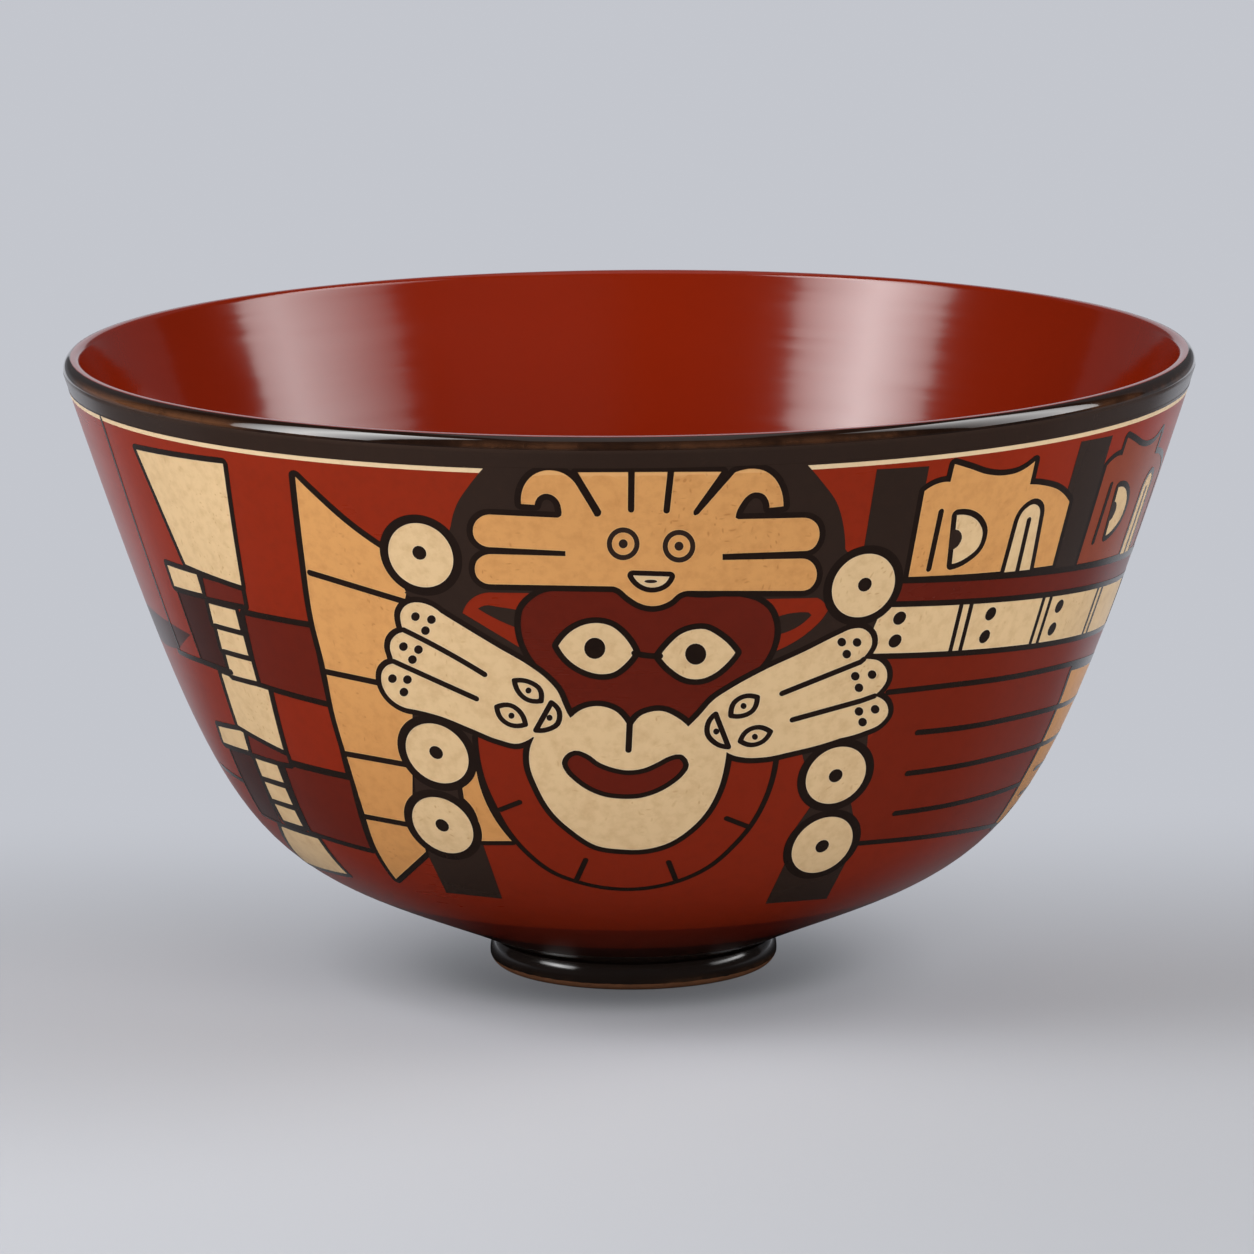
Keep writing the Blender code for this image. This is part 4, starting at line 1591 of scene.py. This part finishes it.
# Stage: a pale sweep that is lit near the cup and keeps an even tone further off
stage = {
    "floorColour": (0.452, 0.463, 0.495),
    "rightShade": 0.93,                 # painted shade: the floor is a little darker at the right
    "rightFade": (-0.04, 0.10),
    "farColour": (0.548, 0.565, 0.612),
    "roundFade": (0.12, 0.42),          # metres from the cup over which the light evens out
    "backFade": (-0.05, 0.11),          # and metres behind it
    "contactFade": (0.022, 0.038),      # painted contact shadow: the floor is darker close to the foot
    "contactShade": 0.55,
    "mirrorFade": (0.0, 0.14),          # in reflections the sweep shows only as a wedge behind the cup
    "mirrorSpread": 0.62,
    "mirrorEdge": (0.16, 0.08),
    "mirrorDepth": 0.6,                 # that widens no further than this behind it
    "mirrorGain": 1.15,
    "sideGain": (0.12, 0.24),           # faintly beside it, and more beside its back
    "sideFade": (0.02, 0.055),
    "sideDepth": (-0.035, 0.0),
    "sideRise": (0.30, 0.02),           # less with height
    "sideTop": 0.5,                     # down to this share
    "roughness": 0.9,
    "specular": 0.1,
    "halfWidth": 3.0,
    "front": -2.0,
    "back": 1.6,
    "bend": 0.5,
    "bendRows": 13,
    "top": 2.5,
}


def sweepMesh():
    part = stage
    turn = np.radians(np.linspace(-90, 0, part["bendRows"]))
    line = [(part["front"], 0.0)]
    line += [(part["back"] + part["bend"] * math.cos(a), part["bend"] * (1 + math.sin(a))) for a in turn]
    line.append((part["back"] + part["bend"], part["top"]))
    places = [(x, y, z) for y, z in line for x in (-part["halfWidth"], part["halfWidth"])]
    faces = [(2 * i, 2 * i + 1, 2 * i + 3, 2 * i + 2) for i in range(len(line) - 1)]
    mesh = bpy.data.meshes.new("studio_sweep")
    mesh.from_pydata(places, [], faces)
    mesh.shade_smooth()
    return mesh


def floorTone(tree, away, across):
    part, plain = stage, rgba(stage["floorColour"])
    # painted contact shadow: the floor colour is darkened close to the foot
    stainedOrShaded = rgba(part["contactShade"] * value for value in part["floorColour"])
    tone = mixColours(tree, ramp(tree, away, *part["contactFade"]), stainedOrShaded, plain)
    # painted shade: the floor colour is darkened toward the right
    darker = mixColours(tree, 1.0, tone, rgba((part["rightShade"],) * 3), blend="MULTIPLY")
    return mixColours(tree, ramp(tree, across, *part["rightFade"]), tone, darker)


def mirrorTone(tree, across, behind, high):
    part, aside = stage, mathNode(tree, "ABSOLUTE", across)
    depth = mathNode(tree, "MINIMUM", behind, part["mirrorDepth"])
    beside = mathNode(tree, "SUBTRACT", aside, mathNode(tree, "MULTIPLY", depth, part["mirrorSpread"]))
    wedge = ramp(tree, beside, *part["mirrorEdge"])
    wedge = mathNode(tree, "MULTIPLY", wedge, ramp(tree, behind, *part["mirrorFade"]))
    wedge = mathNode(tree, "MULTIPLY", wedge, part["mirrorGain"])
    low, rise = part["sideGain"]
    sides = mathNode(tree, "MULTIPLY_ADD", ramp(tree, behind, *part["sideDepth"]), rise, low)
    sides = mathNode(tree, "MULTIPLY", ramp(tree, aside, *part["sideFade"]), sides)
    nearFloor = ramp(tree, high, *part["sideRise"])
    nearFloor = mathNode(tree, "MULTIPLY_ADD", nearFloor, 1 - part["sideTop"], part["sideTop"])
    return mathNode(tree, "MAXIMUM", wedge, mathNode(tree, "MULTIPLY", sides, nearFloor))


def sweepMaterial():
    part = stage
    material, tree, shader = newMaterial("palePaper")
    shader.inputs["Roughness"].default_value = part["roughness"]
    shader.inputs["Specular IOR Level"].default_value = part["specular"]
    place = objectPlace(tree)
    away = vectorNode(tree, "LENGTH", place, output="Value")
    across, behind, high = splitVector(tree, place)
    tree.links.new(floorTone(tree, away, across), shader.inputs["Base Color"])
    backward = ramp(tree, behind, *part["backFade"])
    fade = mathNode(tree, "MAXIMUM", ramp(tree, away, *part["roundFade"]), backward)
    seen = addNode(tree, "ShaderNodeLightPath").outputs
    direct = mathNode(tree, "MULTIPLY", fade, seen["Is Camera Ray"])
    share = mathNode(tree, "MAXIMUM", direct, seen["Is Glossy Ray"])
    change = mathNode(tree, "SUBTRACT", mirrorTone(tree, across, behind, high), 1.0)
    strength = mathNode(tree, "MULTIPLY_ADD", change, seen["Is Glossy Ray"], 1.0)
    links = {"Color": rgba(part["farColour"]), "Strength": strength}
    glow = addNode(tree, "ShaderNodeEmission", links).outputs[0]
    mixed = addNode(tree, "ShaderNodeMixShader", {0: share, 1: shader.outputs[0], 2: glow}).outputs[0]
    tree.links.new(mixed, tree.nodes["Material Output"].inputs["Surface"])
    return material


def makeSweep():
    mesh = sweepMesh()
    mesh.materials.append(sweepMaterial())
    sweep = bpy.data.objects.new("studio_sweep", mesh)
    bpy.context.scene.collection.objects.link(sweep)


makeSweep()

# Light: two soft boxes that show in the gloss, brightest part way across, and fills that don't show
lamps = {
    "leftBox": {
        "turn": -65, "rise": 34, "away": 0.55, "size": (0.33, 0.50), "power": 3.1,
        "shade": (0.25, 0.50, 0.30),    # strength at the left, place of the peak, strength at the right
    },
    "rightBox": {
        "turn": 84, "rise": 34, "away": 0.55, "size": (0.37, 0.50), "power": 2.05,
        "shade": (0.15, 0.72, 0.60),
    },
    "topCard": {
        "turn": 0, "rise": 88, "away": 0.8, "size": (0.46, 0.86), "power": 0.55, "onlyGloss": True,
    },
    "leftFill": {"turn": -45, "rise": 30, "away": 1.0, "size": (0.7, 0.4), "power": 0.45},
    "rightFill": {"turn": 26, "rise": 30, "away": 1.0, "size": (0.7, 0.4), "power": 5.0},
    "frontFill": {"turn": 0, "rise": 14, "away": 1.2, "size": (0.9, 0.4), "power": 3.25},
}
lampTarget = Vector((0, 0, 0.06))
ambient = {"colour": (0.9, 0.95, 1.0), "strength": 0.015}


def shadeBox(light, start, peak, end):
    light.use_nodes = True
    tree = light.node_tree
    place = addNode(tree, "ShaderNodeNewGeometry").outputs["Parametric"]
    across = splitVector(tree, place)[0]
    rest = mathNode(tree, "SUBTRACT", 1.0, across)
    rise = mathNode(tree, "MULTIPLY_ADD", across, (1 - start) / peak, start)
    fall = mathNode(tree, "MULTIPLY_ADD", rest, (1 - end) / (1 - peak), end)
    mean = (peak * (1 + start) + (1 - peak) * (1 + end)) / 2
    level = mathNode(tree, "DIVIDE", mathNode(tree, "MINIMUM", rise, fall), mean)
    tree.links.new(level, tree.nodes["Emission"].inputs["Strength"])


def makeLamps():
    for name, part in lamps.items():
        turn, rise = math.radians(part["turn"]), math.radians(part["rise"])
        level = math.cos(rise)
        toward = Vector((math.sin(turn) * level, -math.cos(turn) * level, math.sin(rise)))
        light = bpy.data.lights.new(name, "AREA")
        light.shape = "RECTANGLE"
        light.size, light.size_y = part["size"]
        light.energy = part["power"]
        lamp = bpy.data.objects.new(name, light)
        lamp.visible_glossy = "shade" in part or "onlyGloss" in part
        lamp.visible_diffuse = "onlyGloss" not in part
        if "shade" in part:
            shadeBox(light, *part["shade"])
        lamp.location = lampTarget + toward * part["away"]
        lamp.rotation_euler = toward.to_track_quat("Z", "Y").to_euler()
        bpy.context.scene.collection.objects.link(lamp)
    world = bpy.data.worlds.new("studioAir")
    bpy.context.scene.world = world
    world.use_nodes = True
    air = world.node_tree.nodes["Background"]
    air.inputs["Color"].default_value = rgba(ambient["colour"])
    air.inputs["Strength"].default_value = ambient["strength"]


makeLamps()


def makeCamera():
    view = photoView
    camera = bpy.data.cameras.new("photoCamera")
    camera.sensor_width = view["sensor"]
    camera.lens = view["focal"] * view["sensor"] / view["side"]
    camera.clip_start, camera.clip_end = view["clip"]
    eye = bpy.data.objects.new("photoCamera", camera)
    tilt = Matrix.Rotation(math.pi / 2 - view["pitch"], 4, "X") @ Matrix.Rotation(view["roll"], 4, "Z")
    eye.matrix_world = Matrix.Translation(view["place"]) @ tilt
    bpy.context.scene.collection.objects.link(eye)
    bpy.context.scene.camera = eye


makeCamera()
bpy.context.scene.view_settings.view_transform = "Standard"
print("stage lit")
